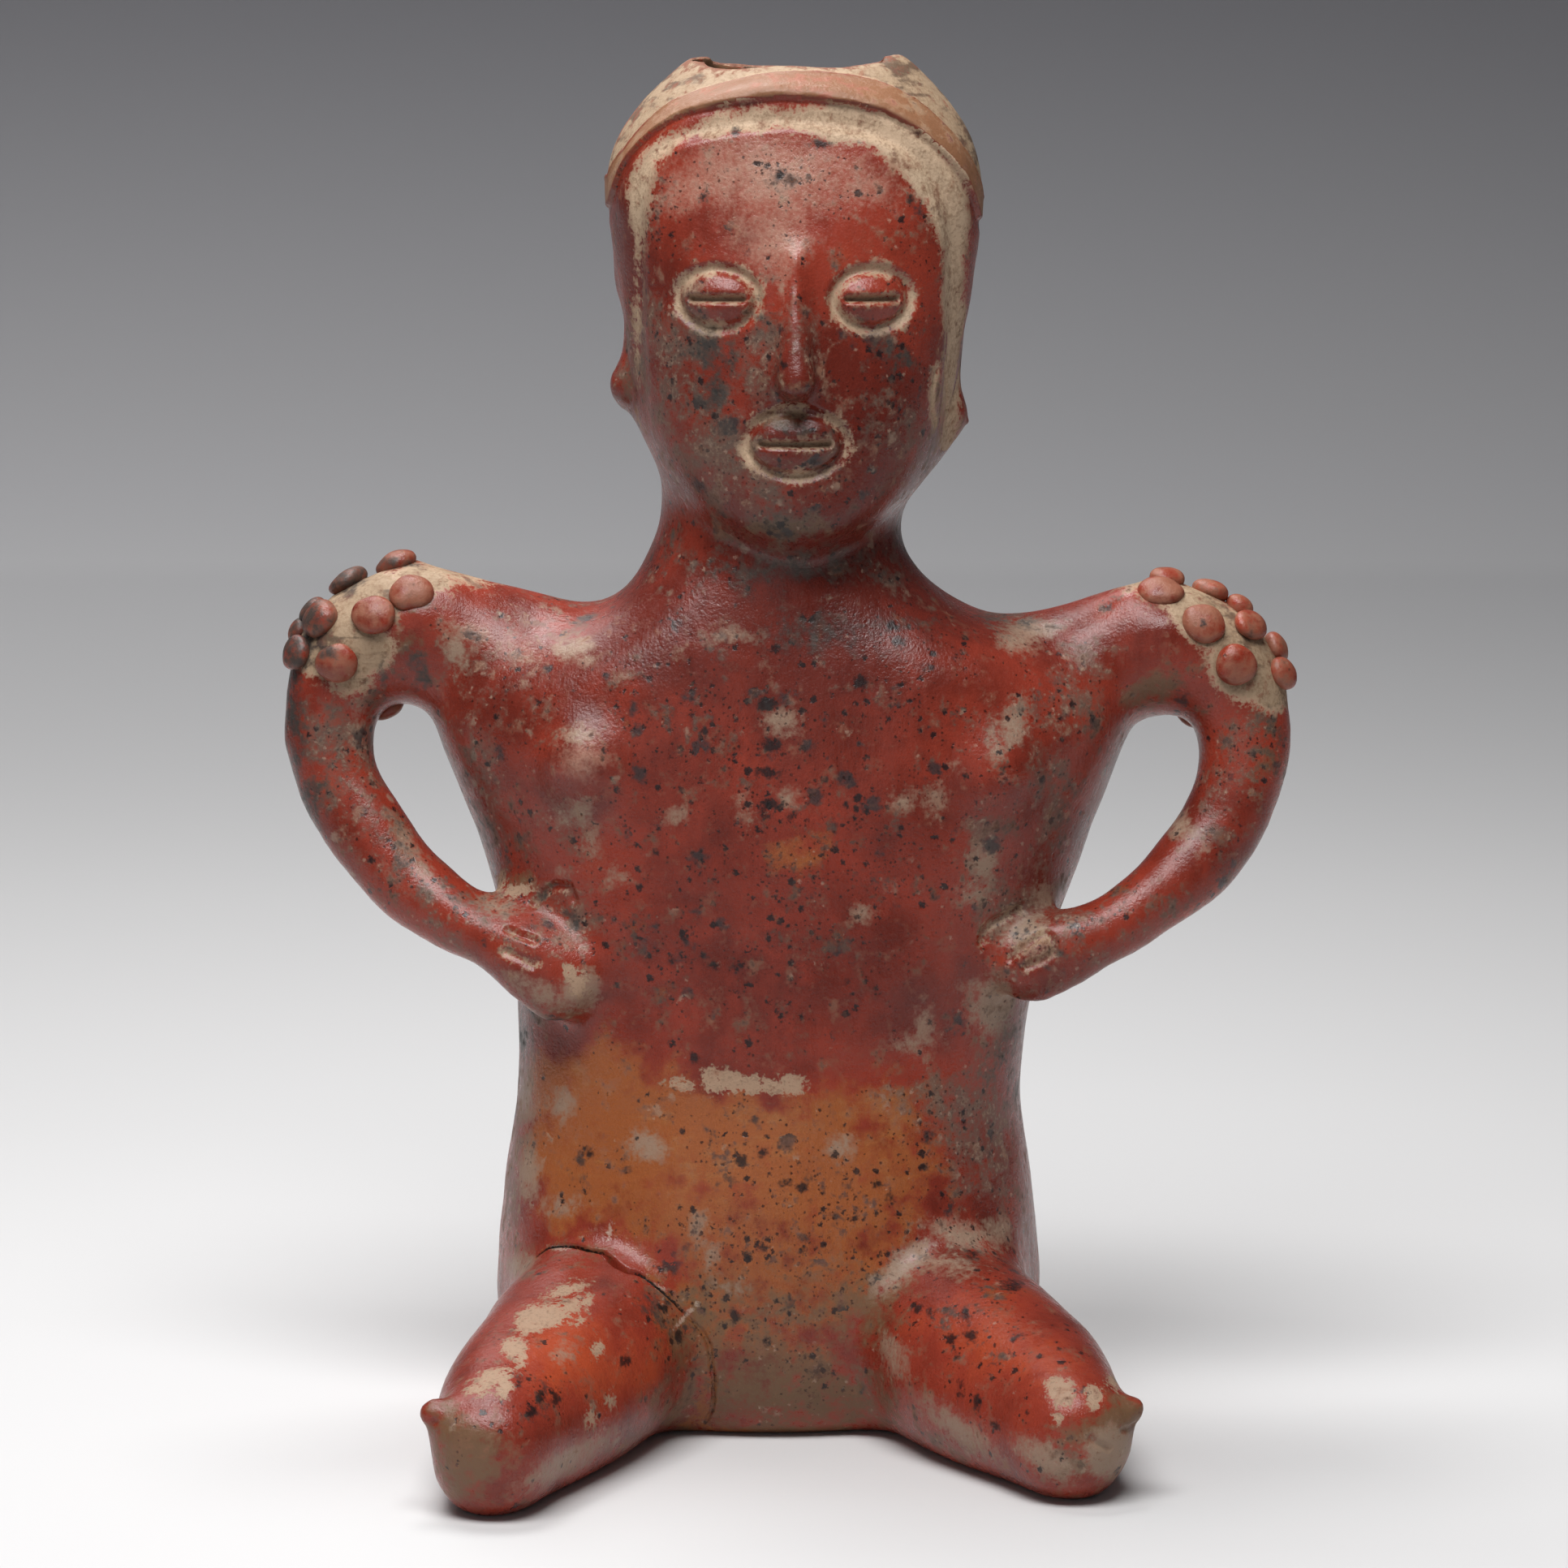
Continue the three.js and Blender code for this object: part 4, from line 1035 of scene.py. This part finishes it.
        (654, 1142, 12, 7, 0, 0.8), (669, 1104, 11, 8, 30, 0.7), (684, 1090, 9, 8, 0, 1.0),
        (709, 1140, 8, 14, 0, 0.8), (672, 1158, 14, 6, -10, 0.6), (1311, 1174, 12, 9, 0, 0.8),
        (1290, 1193, 8, 8, 0, 0.9), (1325, 1155, 10, 10, 0, 0.6), (952, 868, 40, 20, 0, 0.55),
        (942, 900, 20, 20, 0, 0.4), (655, 1740, 30, 20, 0, 0.6), (880, 450, 30, 60, 0, 0.5),
        (930, 380, 20, 40, 0, 0.4), (1190, 1620, 40, 20, 0, 0.4), (800, 1610, 20, 30, 0, 0.6),
        (600, 1240, 30, 80, 0, 0.4), (1220, 1330, 60, 30, 0, 0.4), (770, 480, 10, 26, 0, 0.5),
        (1180, 500, 6, 40, 0, 0.5), (840, 470, 70, 80, 0, 0.4), (1090, 460, 60, 80, 0, 0.42),
        (960, 540, 60, 30, 0, 0.45), (960, 700, 160, 40, 0, 0.45), (960, 640, 90, 26, 0, 0.35),
        (400, 950, 40, 120, 0, 0.35), (1560, 930, 40, 140, 0, 0.35), (1440, 1120, 70, 36, 30, 0.35),
        (520, 1110, 70, 40, -40, 0.3), (1000, 780, 160, 40, 0, 0.4), (640, 1270, 40, 70, 0, 0.4),
        (1245, 1290, 30, 80, 0, 0.45), (1220, 760, 70, 30, 0, 0.3), (800, 640, 40, 60, 0, 0.3),
        (1110, 660, 30, 60, 0, 0.4),
    ],
    # where the manganese specks gather
    "specks": [
        (985, 1500, 130, 70, 0, 1.0), (960, 1590, 150, 60, 0, 0.9), (830, 1660, 50, 60, -40, 0.9),
        (1150, 1400, 60, 80, 0, 0.7), (930, 1420, 120, 40, 0, 0.6), (860, 440, 60, 60, 0, 0.6),
        (800, 280, 50, 60, 0, 0.6), (1130, 330, 50, 60, 0, 0.5), (1100, 470, 60, 60, 0, 0.6),
        (1190, 1650, 70, 40, -30, 0.8), (650, 1720, 60, 40, 0, 0.6), (950, 1000, 260, 200, 0, 0.55),
        (820, 890, 80, 60, 0, 0.8), (1040, 1070, 110, 50, 0, 0.9), (1320, 870, 60, 70, -20, 1.0),
        (920, 880, 60, 40, 0, 0.7), (1150, 780, 60, 40, 0, 0.6), (700, 1130, 50, 40, 0, 0.7),
        (1290, 1160, 60, 40, 0, 0.6), (640, 900, 60, 80, 0, 0.5), (960, 640, 150, 40, 0, 0.6),
        (960, 430, 220, 160, 0, 0.35), (450, 950, 60, 120, 20, 0.4), (1520, 960, 70, 150, 15, 0.5),
        (900, 1560, 60, 60, 0, 0.6), (1060, 1560, 80, 80, 0, 0.6), (950, 930, 210, 150, 0, 1.0),
        (1050, 1100, 150, 130, 0, 0.7), (820, 1150, 120, 110, 0, 0.5), (960, 1440, 90, 60, 0, 0.9),
        (970, 1530, 150, 70, 0, 1.0), (900, 1620, 90, 50, 0, 0.8), (1140, 1400, 110, 70, 0, 0.7),
        (1150, 850, 90, 80, 0, 0.8), (650, 850, 100, 80, 0, 0.5), (850, 430, 90, 110, 0, 0.8),
        (1090, 430, 80, 110, 0, 0.7), (960, 230, 200, 60, 0, 0.35), (960, 580, 160, 80, 0, 0.7),
        (1230, 1640, 90, 60, 0, 0.7), (640, 1740, 50, 40, 0, 0.6), (1520, 920, 60, 120, 0, 0.4),
        (420, 1000, 60, 150, 0, 0.35), (1250, 1170, 50, 40, 0, 0.8), (960, 1690, 120, 50, 0, 0.6),
        (1230, 1000, 60, 130, 0, 0.6), (620, 1260, 50, 100, 0, 0.4),
    ],
    # the brown fill of the old repair
    "mend": [
        (868, 1735, 12, 30, 0, 0.9), (885, 1770, 40, 8, 0, 0.9), (845, 1620, 30, 12, -40, 0.6),
        (804, 1575, 22, 6, -20, 0.9), (868, 1640, 12, 16, -40, 0.9), (866, 1735, 12, 26, 0, 1.0),
        (850, 1752, 20, 10, 30, 1.0), (890, 1772, 36, 8, 0, 1.0), (930, 1775, 60, 6, 0, 0.8),
    ],
}
# Marks that follow the carved lines and the pellets
LINE_MARKS = ("band", "shaded_cap", "crack", "rim", "pellet", "seam")
MARK_REACH = 12.0  # mm, past which a mark's distance isn't followed
PATCH_DEPTH = 2.2  # how deep a patch reaches into the clay, in times its half size
PATCH_DEPTH_MORE = 5  # mm, on top of that
PATCH_FALL = 1.4  # how fast a soft patch fades
SPOT_MARGIN = 1.6  # mm round a dark spot where the faces are kept small
FLAKE_MARGIN = 1.3  # the same to either side of a flake's edge

# Patches for the sides and the back: how many, and their least and most half size in mm
PATCHES_BEHIND = {
    "bare": (14, 3, 8), "faded_and_sheen": (26, 3, 9), "rubbed": (24, 12, 34), "soot_and_shade": (9, 8, 22),
    "specks": (12, 20, 50),
}
BACK_ACROSS = (-135, 135)
BACK_UP = (8, 372)
PATCHES_FROM = 500  # mm behind the middle, from where their places are looked for
BACK_TURN = 0.2  # how far a surface turns back at least to take a patch
BACK_DEPTH = 1.5  # how deep such a patch reaches, in times its larger half size
BACK_STRENGTH = (0.5, 1)

# The wear of the open crown's lip, in mm: the heights from where the inner and the outer side are
# compared, and how far from the inner side the wear reaches
WALL_SEARCH = 350
RIM_SEARCH = 355
RIM_WIDTH = 4.5

# Half widths of the pale lines of bare clay, in mm
CREAM_RINGS = (1.1, 1.1, 0.7)
CREAM_SLIT = 0.8
CREAM_FINGER = 0.5
CREAM_EAR = 1.9
# The pale line along the face is widest at the viewer's right and above
ARCH_LEAST = -0.5
ARCH_RIGHT = 3.0
ARCH_ABOVE = 3.3
RIGHT_SIDE = (HEAD_X - 20, HEAD_X + 30)
FOREHEAD = (324, 344)
# How the edges of the pale lines fray: how high the wall's waves are there, and how much shorter
ARCH_FRAY = (2.2, 2.3)
RING_FRAY = (1.4, 5.1)
FINGER_FRAY = (0.8, 4.3)
LINE_SHIFT = 0.2  # mm, how far the pale lines lie off the middle of their grooves
CAP_START = 0.4  # mm above the headband
SEAM_START = 1.05  # a pellet's seam runs here, as a share of its radius
SEAM_WIDTH = 1.5  # mm
CRACK_HALF_WIDTH = 0.36  # mm, where its drawn width is 0
CRACK_WIDENING = 0.28
MEND_STRENGTH = 0.8  # the repair's fill along the crack
MEND_WIDTH = 2.4  # mm
# Wear of the hollow's skin, which has no slip and gathers earth
INNER_BROWN = 1.0
INNER_RUBBED = 0.6


class PaintPatches:
    """The patches of the surface, each carried from its pixels to the clay."""

    def __init__(self, surface):
        self.patches = {
            name: [self.seated(surface, patch) for patch in patches]
            for name, patches in (EDGED_PATCHES | SOFT_PATCHES).items()
        }
        for name, patches in self.behind(surface).items():
            self.patches[name] += patches

    def seated(self, surface, patch):
        """A patch's middle on the clay, three ways each divided by its reach, and its strength."""
        place, _ = surface.under(patch[:2])
        size = mm_per_pixel(place)
        half_width = patch[2] * size
        half_height = patch[3] * size
        tilt = math.radians(patch[4])
        wide = rightward * math.cos(tilt) + upward * math.sin(tilt)
        tall = upward * math.cos(tilt) - rightward * math.sin(tilt)
        deep = PATCH_DEPTH * max(half_width, half_height) + PATCH_DEPTH_MORE
        ways = np.array([wide / half_width, tall / half_height, forward / deep])
        strength = patch[5] if len(patch) > 5 else 1
        return np.array(place), ways, strength, min(half_width, half_height)

    def behind(self, surface):
        """Patches for the sides and the back, which the photograph doesn't show."""
        chance = np.random.default_rng(7)
        found = {}
        for name, (count, least, most) in PATCHES_BEHIND.items():
            found[name] = []
            while len(found[name]) < count:
                across = chance.uniform(*BACK_ACROSS)
                start = Vector((across, PATCHES_FROM, chance.uniform(*BACK_UP)))
                place, normal, _, _ = surface.tree.ray_cast(start, Vector((0, -1, 0)))
                if place is None or normal.y < BACK_TURN:
                    continue
                wide, tall = chance.uniform(least, most, 2)
                ways = np.diag([1 / wide, 1 / (BACK_DEPTH * max(wide, tall)), 1 / tall])
                strength = chance.uniform(*BACK_STRENGTH)
                found[name].append((np.array(place), ways, strength, min(wide, tall)))
        return found

    def edges_near(self, places):
        """True near the dark spots and the edges of the flaked patches."""
        near = self.inside("spots", places) > -SPOT_MARGIN
        return near | (np.abs(self.inside("bare", places)) < FLAKE_MARGIN)

    def inside(self, name, places):
        """How far inside the edge of a patch each place is, in mm, below zero outside."""
        depth = np.full(len(places), -MARK_REACH)
        for middle, ways, _, reach in self.patches[name]:
            share = np.linalg.norm((places - middle) @ ways.T, axis=1)
            depth = np.maximum(depth, (1 - share) * reach)
        return depth

    def strength(self, name, places):
        """How strongly soft patches show at each place, from 0 to 1."""
        left = np.ones(len(places))
        for middle, ways, strength, _ in self.patches[name]:
            share = ((places - middle) @ ways.T) ** 2
            left *= 1 - strength * np.exp(-PATCH_FALL * share.sum(axis=1))
        return 1 - left


def rim_nearness(places, inside):
    """1 on the lip of the open crown, falling to 0 away from it."""
    nearness = np.zeros(len(places))
    wall = np.nonzero(inside & (places[:, 2] > WALL_SEARCH))[0]
    finder = KDTree(len(wall))
    for index in wall:
        finder.insert(places[index], index)
    finder.balance()
    for index in np.nonzero(~inside & (places[:, 2] > RIM_SEARCH))[0]:
        nearness[index] = 1 - finder.find(places[index])[2] / RIM_WIDTH
    return np.clip(nearness, 0, 1)


def lay_paint(mesh, patches, carving, seats=()):
    """Writes on the mesh, point by point, where each wear, stain and bare bed is.

    Some of these marks are painted highlights and painted shade.
    """
    places = places_of(mesh)
    carving.read(places, normals_of(mesh))
    away = np.full(len(places), -MARK_REACH)
    marks = {name: patches.inside(name, places) for name in EDGED_PATCHES}
    marks.update({name: patches.strength(name, places) for name in SOFT_PATCHES})
    marks.update({"band": away, "shaded_cap": away, "crack": away})
    marks["rim"] = np.zeros(len(places))
    marks["pellet"] = np.ones(len(places))
    marks["seam"] = np.zeros(len(places))
    if seats:
        marks["pellet"] = np.zeros(len(places))
        for place, _, radius in seats:
            gap = np.linalg.norm(places - np.array(place), axis=1) - SEAM_START * radius
            marks["seam"] = np.maximum(marks["seam"], hump(gap, SEAM_WIDTH))
        head = carving.on_head > 0.5
        face = head & (carving.on_front > 0.4)
        shaded_cap = np.where(head, carving.above_band - CAP_START, away)
        band = np.minimum(-carving.below_band, -carving.above_band)
        marks["band"] = np.where(head, band, away)
        wide = ARCH_LEAST + ARCH_RIGHT * rise(places[:, 0], *RIGHT_SIDE)
        wide = wide + ARCH_ABOVE * rise(places[:, 2], *FOREHEAD) + uneven(places, *ARCH_FRAY)
        beside = np.abs(carving.face_edge + LINE_SHIFT)
        arch = np.where(carving.face_arch > 0.2, wide - beside, away)
        rings = [
            breadth - np.abs(ring - LINE_SHIFT)
            for breadth, (ring, _) in zip(CREAM_RINGS, carving.rings)
        ]
        rings = np.max(rings, axis=0)
        rings += uneven(places, *RING_FRAY)
        slits = np.max([CREAM_SLIT - slit for _, slit in carving.rings], axis=0)
        rings = np.where(face, np.maximum(rings, slits), away)
        fingers = CREAM_FINGER - carving.drawn["finger"] + uneven(places, *FINGER_FRAY)
        ears = CREAM_EAR - carving.drawn["ear"]
        # the crown and the pellet beds take the darker, shaded copy of the pale clay
        marks["shaded_cap"] = np.maximum(shaded_cap, marks["cream"])
        marks["cream"] = np.max([marks["cream"], shaded_cap, arch, rings, fingers, ears], axis=0)
        inside = walled_in(mesh)
        marks["rim"] = rim_nearness(places, inside)
        for name in ("cream", "shaded_cap", "band", "bare", "faded_and_sheen"):
            marks[name] = np.where(inside, away, marks[name])
        marks["brown"][inside] = INNER_BROWN
        marks["rubbed"][inside] = INNER_RUBBED
        marks["specks"][inside] = 0
        half_width = CRACK_HALF_WIDTH + CRACK_WIDENING * carving.crack_width
        marks["crack"] = half_width - carving.crack_distance
        fill = MEND_STRENGTH * hump(carving.crack_distance, MEND_WIDTH)
        marks["mend"] = np.maximum(marks["mend"], fill)
    else:
        marks.update({"cream": away, "bare": away, "faded_and_sheen": away})
    for name, values in marks.items():
        mark = mesh.attributes.new(name, "FLOAT", "POINT")
        values = np.clip(values, -MARK_REACH, MARK_REACH)
        mark.data.foreach_set("value", values.astype(np.float32))


# The fired clay and its slip.


def linear(hex_colour):
    """An sRGB hex colour as linear red, green, blue and a full alpha."""
    shares = [int(hex_colour[i : i + 2], 16) / 255 for i in (1, 3, 5)]
    return (*[s / 12.92 if s <= 0.04045 else ((s + 0.055) / 1.055) ** 2.4 for s in shares], 1)


def add(tree, kind, inputs=None, **settings):
    """Adds a node, sets it up and links or fills its inputs."""
    node = tree.nodes.new("ShaderNode" + kind)
    for name, value in settings.items():
        setattr(node, name, value)
    for key, value in (inputs or {}).items():
        if isinstance(value, bpy.types.NodeSocket):
            tree.links.new(value, node.inputs[key])
        else:
            node.inputs[key].default_value = value
    return node


def red_slipped_earthenware():
    """Low-fired earthenware under a thin red iron slip, burnished with a smooth pebble.

    The burnish gives the eye a soft satin shine in strokes. The slip is brick red to deep wine, and
    orange where it is thin. It is worn through to dull buff clay in flakes, clouded grey by the
    fire, and peppered with black manganese from centuries in the soil. Some layers are painted
    light and shade: pinkish highlights on the high points and along the crack, a little sheen on
    one hip, shade that darkens the neck, the upper chest, one cheek and one shoulder, and a darker
    copy of the pale clay on the crown and the pellet beds.
    """
    material = bpy.data.materials.new("burnished_red_slipped_earthenware")
    material.use_nodes = True
    tree = material.node_tree
    tree.nodes.clear()
    in_metres = add(tree, "TexCoord").outputs["Object"]
    inputs = {0: in_metres, "Scale": 1 / MM}
    clay_mm = add(tree, "VectorMath", inputs, operation="SCALE").outputs[0]
    shown = {
        name: add(tree, "Attribute", attribute_name=name).outputs["Fac"]
        for name in (*EDGED_PATCHES, *SOFT_PATCHES, *LINE_MARKS)
    }
    for shift, (name, (size, detail, roughness, longer)) in enumerate(GRAINS.items()):
        scale = [1 / (size * times) for times in longer]
        inputs = {0: clay_mm, "Scale": scale, "Location": [GRAIN_SHIFT * shift] * 3}
        place = add(tree, "Mapping", inputs).outputs[0]
        inputs = {0: place, "Scale": 1, "Detail": detail, "Roughness": roughness}
        noise = add(tree, "TexNoise", inputs).outputs["Fac"]
        inputs = {0: noise, 1: NOISE_GAIN, 2: -0.5 * NOISE_GAIN}
        shown[name] = add(tree, "Math", inputs, operation="MULTIPLY_ADD").outputs[0]

    for shift, (name, (cell, largest, share, softness, follows)) in enumerate(DOTS.items()):
        inputs = {0: clay_mm, "Scale": [1 / cell] * 3, "Location": [DOT_SHIFT * shift] * 3}
        place = add(tree, "Mapping", inputs).outputs[0]
        warp = add(tree, "TexNoise", {0: place, "Scale": WARP_SCALE, "Detail": 3})
        inputs = {0: warp.outputs["Color"], 1: [DOT_WARP] * 3, 2: place}
        warped = add(tree, "VectorMath", inputs, operation="MULTIPLY_ADD")
        cells = add(tree, "TexVoronoi", {0: warped.outputs[0], "Scale": 1})
        chances = add(tree, "SeparateColor", {0: cells.outputs["Color"]})
        # Most dots are small and few are large.
        power = add(tree, "Math", {0: chances.outputs[0], 1: 2}, operation="POWER")
        inputs = {0: power.outputs[0], 3: SMALLEST_DOT * largest / cell, 4: largest / cell}
        reach = add(tree, "MapRange", inputs)
        inputs = {0: reach.outputs[0], 1: cells.outputs["Distance"]}
        gap = add(tree, "Math", inputs, operation="SUBTRACT")
        edge = add(tree, "MapRange", {0: gap.outputs[0], 1: -softness, 2: softness})
        gathered = shown[follows]
        for grain in ("cloud", "patch"):
            inputs = {0: shown[grain], 1: CLUSTERING, 2: gathered}
            gathered = add(tree, "Math", inputs, operation="MULTIPLY_ADD").outputs[0]
        chance = add(tree, "Math", {0: gathered, 1: share}, operation="MULTIPLY")
        inputs = {0: chance.outputs[0], 1: chances.outputs[1]}
        present = add(tree, "Math", inputs, operation="GREATER_THAN")
        inputs = {0: edge.outputs[0], 1: present.outputs[0]}
        shown[name] = add(tree, "Math", inputs, operation="MULTIPLY").outputs[0]

    colour = linear(SLIP_DEEP)
    covered = {}
    for name, tone, start, full, most, within, terms in LAYERS:
        total = 0.0
        for term, weight in terms.items():
            inputs = {0: shown[term], 1: weight, 2: total}
            total = add(tree, "Math", inputs, operation="MULTIPLY_ADD").outputs[0]
        inputs = {0: total, 1: start, 2: full, 3: 0.0, 4: most}
        share = add(tree, "MapRange", inputs, interpolation_type="SMOOTHSTEP").outputs[0]
        if within:
            inputs = {0: share, 1: covered[within]}
            share = add(tree, "Math", inputs, operation="MULTIPLY").outputs[0]
        covered[name] = share
        inputs = {0: share, 6: colour, 7: linear(tone)}
        colour = add(tree, "Mix", inputs, data_type="RGBA").outputs[2]

    roughness = BURNISHED
    for term, weight in DULLED.items():
        inputs = {0: covered.get(term, shown.get(term)), 1: weight, 2: roughness}
        roughness = add(tree, "Math", inputs, operation="MULTIPLY_ADD").outputs[0]
    height = 0.0
    for term, weight in RELIEF.items():
        inputs = {0: covered.get(term, shown.get(term)), 1: weight, 2: height}
        height = add(tree, "Math", inputs, operation="MULTIPLY_ADD").outputs[0]
    bump = add(tree, "Bump", {"Height": height, "Distance": RELIEF_UNIT * MM}).outputs[0]
    inputs = {"Base Color": colour, "Roughness": roughness, "Normal": bump, "IOR": EARTHENWARE_IOR}
    shader = add(tree, "BsdfPrincipled", inputs)
    add(tree, "OutputMaterial", {"Surface": shader.outputs[0]})
    return material


# The studio.


def of_kind(parts, kind):
    """Those of some parts of a mesh that are of one kind, such as its edges."""
    return [part for part in parts if isinstance(part, kind)]


def build_backdrop():
    """A sheet that lies on the floor and curves up into a wall, from one edge drawn back and up."""
    sweep = bmesh.new()
    left = sweep.verts.new((-BACKDROP_HALF_WIDTH, FLOOR_FRONT, 0))
    right = sweep.verts.new((BACKDROP_HALF_WIDTH, FLOOR_FRONT, 0))
    edge = sweep.edges.new((left, right))
    floor = bmesh.ops.extrude_edge_only(sweep, edges=[edge])["geom"]
    ends = of_kind(floor, bmesh.types.BMVert)
    bmesh.ops.translate(sweep, verts=ends, vec=(0, WALL_START - FLOOR_FRONT, 0))
    bend = bmesh.ops.spin(
        sweep,
        geom=ends + of_kind(floor, bmesh.types.BMEdge),
        cent=(0, WALL_START, WALL_BEND),
        axis=(1, 0, 0),
        angle=math.pi / 2,
        steps=BEND_STEPS,
    )["geom_last"]
    wall = bmesh.ops.extrude_edge_only(sweep, edges=of_kind(bend, bmesh.types.BMEdge))["geom"]
    bmesh.ops.translate(sweep, verts=of_kind(wall, bmesh.types.BMVert), vec=(0, 0, WALL_HEIGHT))
    bmesh.ops.recalc_face_normals(sweep, faces=sweep.faces)
    mesh = bpy.data.meshes.new("backdrop")
    sweep.to_mesh(mesh)
    sweep.free()
    mesh.polygons.foreach_set("use_smooth", [True] * len(mesh.polygons))
    return object_of(mesh, "backdrop")


def backdrop_paper():
    """Matt card, which gives the eye an even tone with no shine, darkened at both ends by painted
    shade.
    """
    paper = bpy.data.materials.new("matt_backdrop_paper")
    paper.use_nodes = True
    tree = paper.node_tree
    tree.nodes.clear()
    place = add(tree, "SeparateXYZ", {0: add(tree, "TexCoord").outputs["Object"]})
    inputs = {0: place.outputs[1], 1: place.outputs[2]}
    far = add(tree, "Math", inputs, operation="ADD").outputs[0]
    nearest, first_tone = PAPER_TONES_AND_SHADE[0]
    farthest, last_tone = PAPER_TONES_AND_SHADE[-1]
    share = add(tree, "MapRange", {0: far, 1: nearest, 2: farthest}).outputs[0]
    shade = add(tree, "ValToRGB", {0: share})
    stops = shade.color_ramp.elements
    stops[0].color = linear(first_tone)
    stops[1].color = linear(last_tone)
    for distance, tone in PAPER_TONES_AND_SHADE[1:-1]:
        stops.new((distance - nearest) / (farthest - nearest)).color = linear(tone)
    inputs = {"Base Color": shade.outputs[0], "Roughness": PAPER_ROUGHNESS}
    shader = add(tree, "BsdfPrincipled", inputs)
    add(tree, "OutputMaterial", {"Surface": shader.outputs[0]})
    return paper


def light_studio():
    """Soft lights above, behind and in front of the figure and on the wall, in a dim room."""
    for name, place, aim, width, depth, power in LAMPS:
        lamp = bpy.data.lights.new(name, "AREA")
        lamp.shape = "RECTANGLE"
        lamp.size = width * MM
        lamp.size_y = depth * MM
        lamp.energy = power
        holder = bpy.data.objects.new(name, lamp)
        toward = (Vector(aim) - Vector(place)).to_track_quat("-Z", "Y").to_matrix().to_4x4()
        holder.matrix_world = Matrix.Translation(Vector(place) * MM) @ toward
        SCENE.collection.objects.link(holder)
    world = bpy.data.worlds.new("studio_air")
    world.use_nodes = True
    air = world.node_tree.nodes["Background"]
    air.inputs["Color"].default_value = linear(AIR_TONE)
    air.inputs["Strength"].default_value = AIR_STRENGTH
    SCENE.world = world
    SCENE.view_settings.view_transform = "Standard"


set_camera()
base = clay_base()
surface = Surface(base)
patches = PaintPatches(surface)
clay, carving = build_clay(surface, base, patches)
figure = object_of(clay, "clay_figure")
right_seats = pellet_seats(surface, RIGHT_PELLETS, -1)
left_seats = pellet_seats(surface, LEFT_PELLETS, 1)
right_pellets = build_pellets(right_seats, "right_shoulder_pellets")
left_pellets = build_pellets(left_seats, "left_shoulder_pellets")

earthenware = red_slipped_earthenware()
for piece in (figure, right_pellets, left_pellets):
    lay_paint(piece.data, patches, carving, right_seats + left_seats if piece is figure else [])
    piece.data.materials.clear()
    piece.data.materials.append(earthenware)
    piece.data.polygons.foreach_set("use_smooth", [True] * len(piece.data.polygons))
    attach(piece, "root")
    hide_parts("figure")

backdrop = build_backdrop()
backdrop.data.materials.append(backdrop_paper())
light_studio()
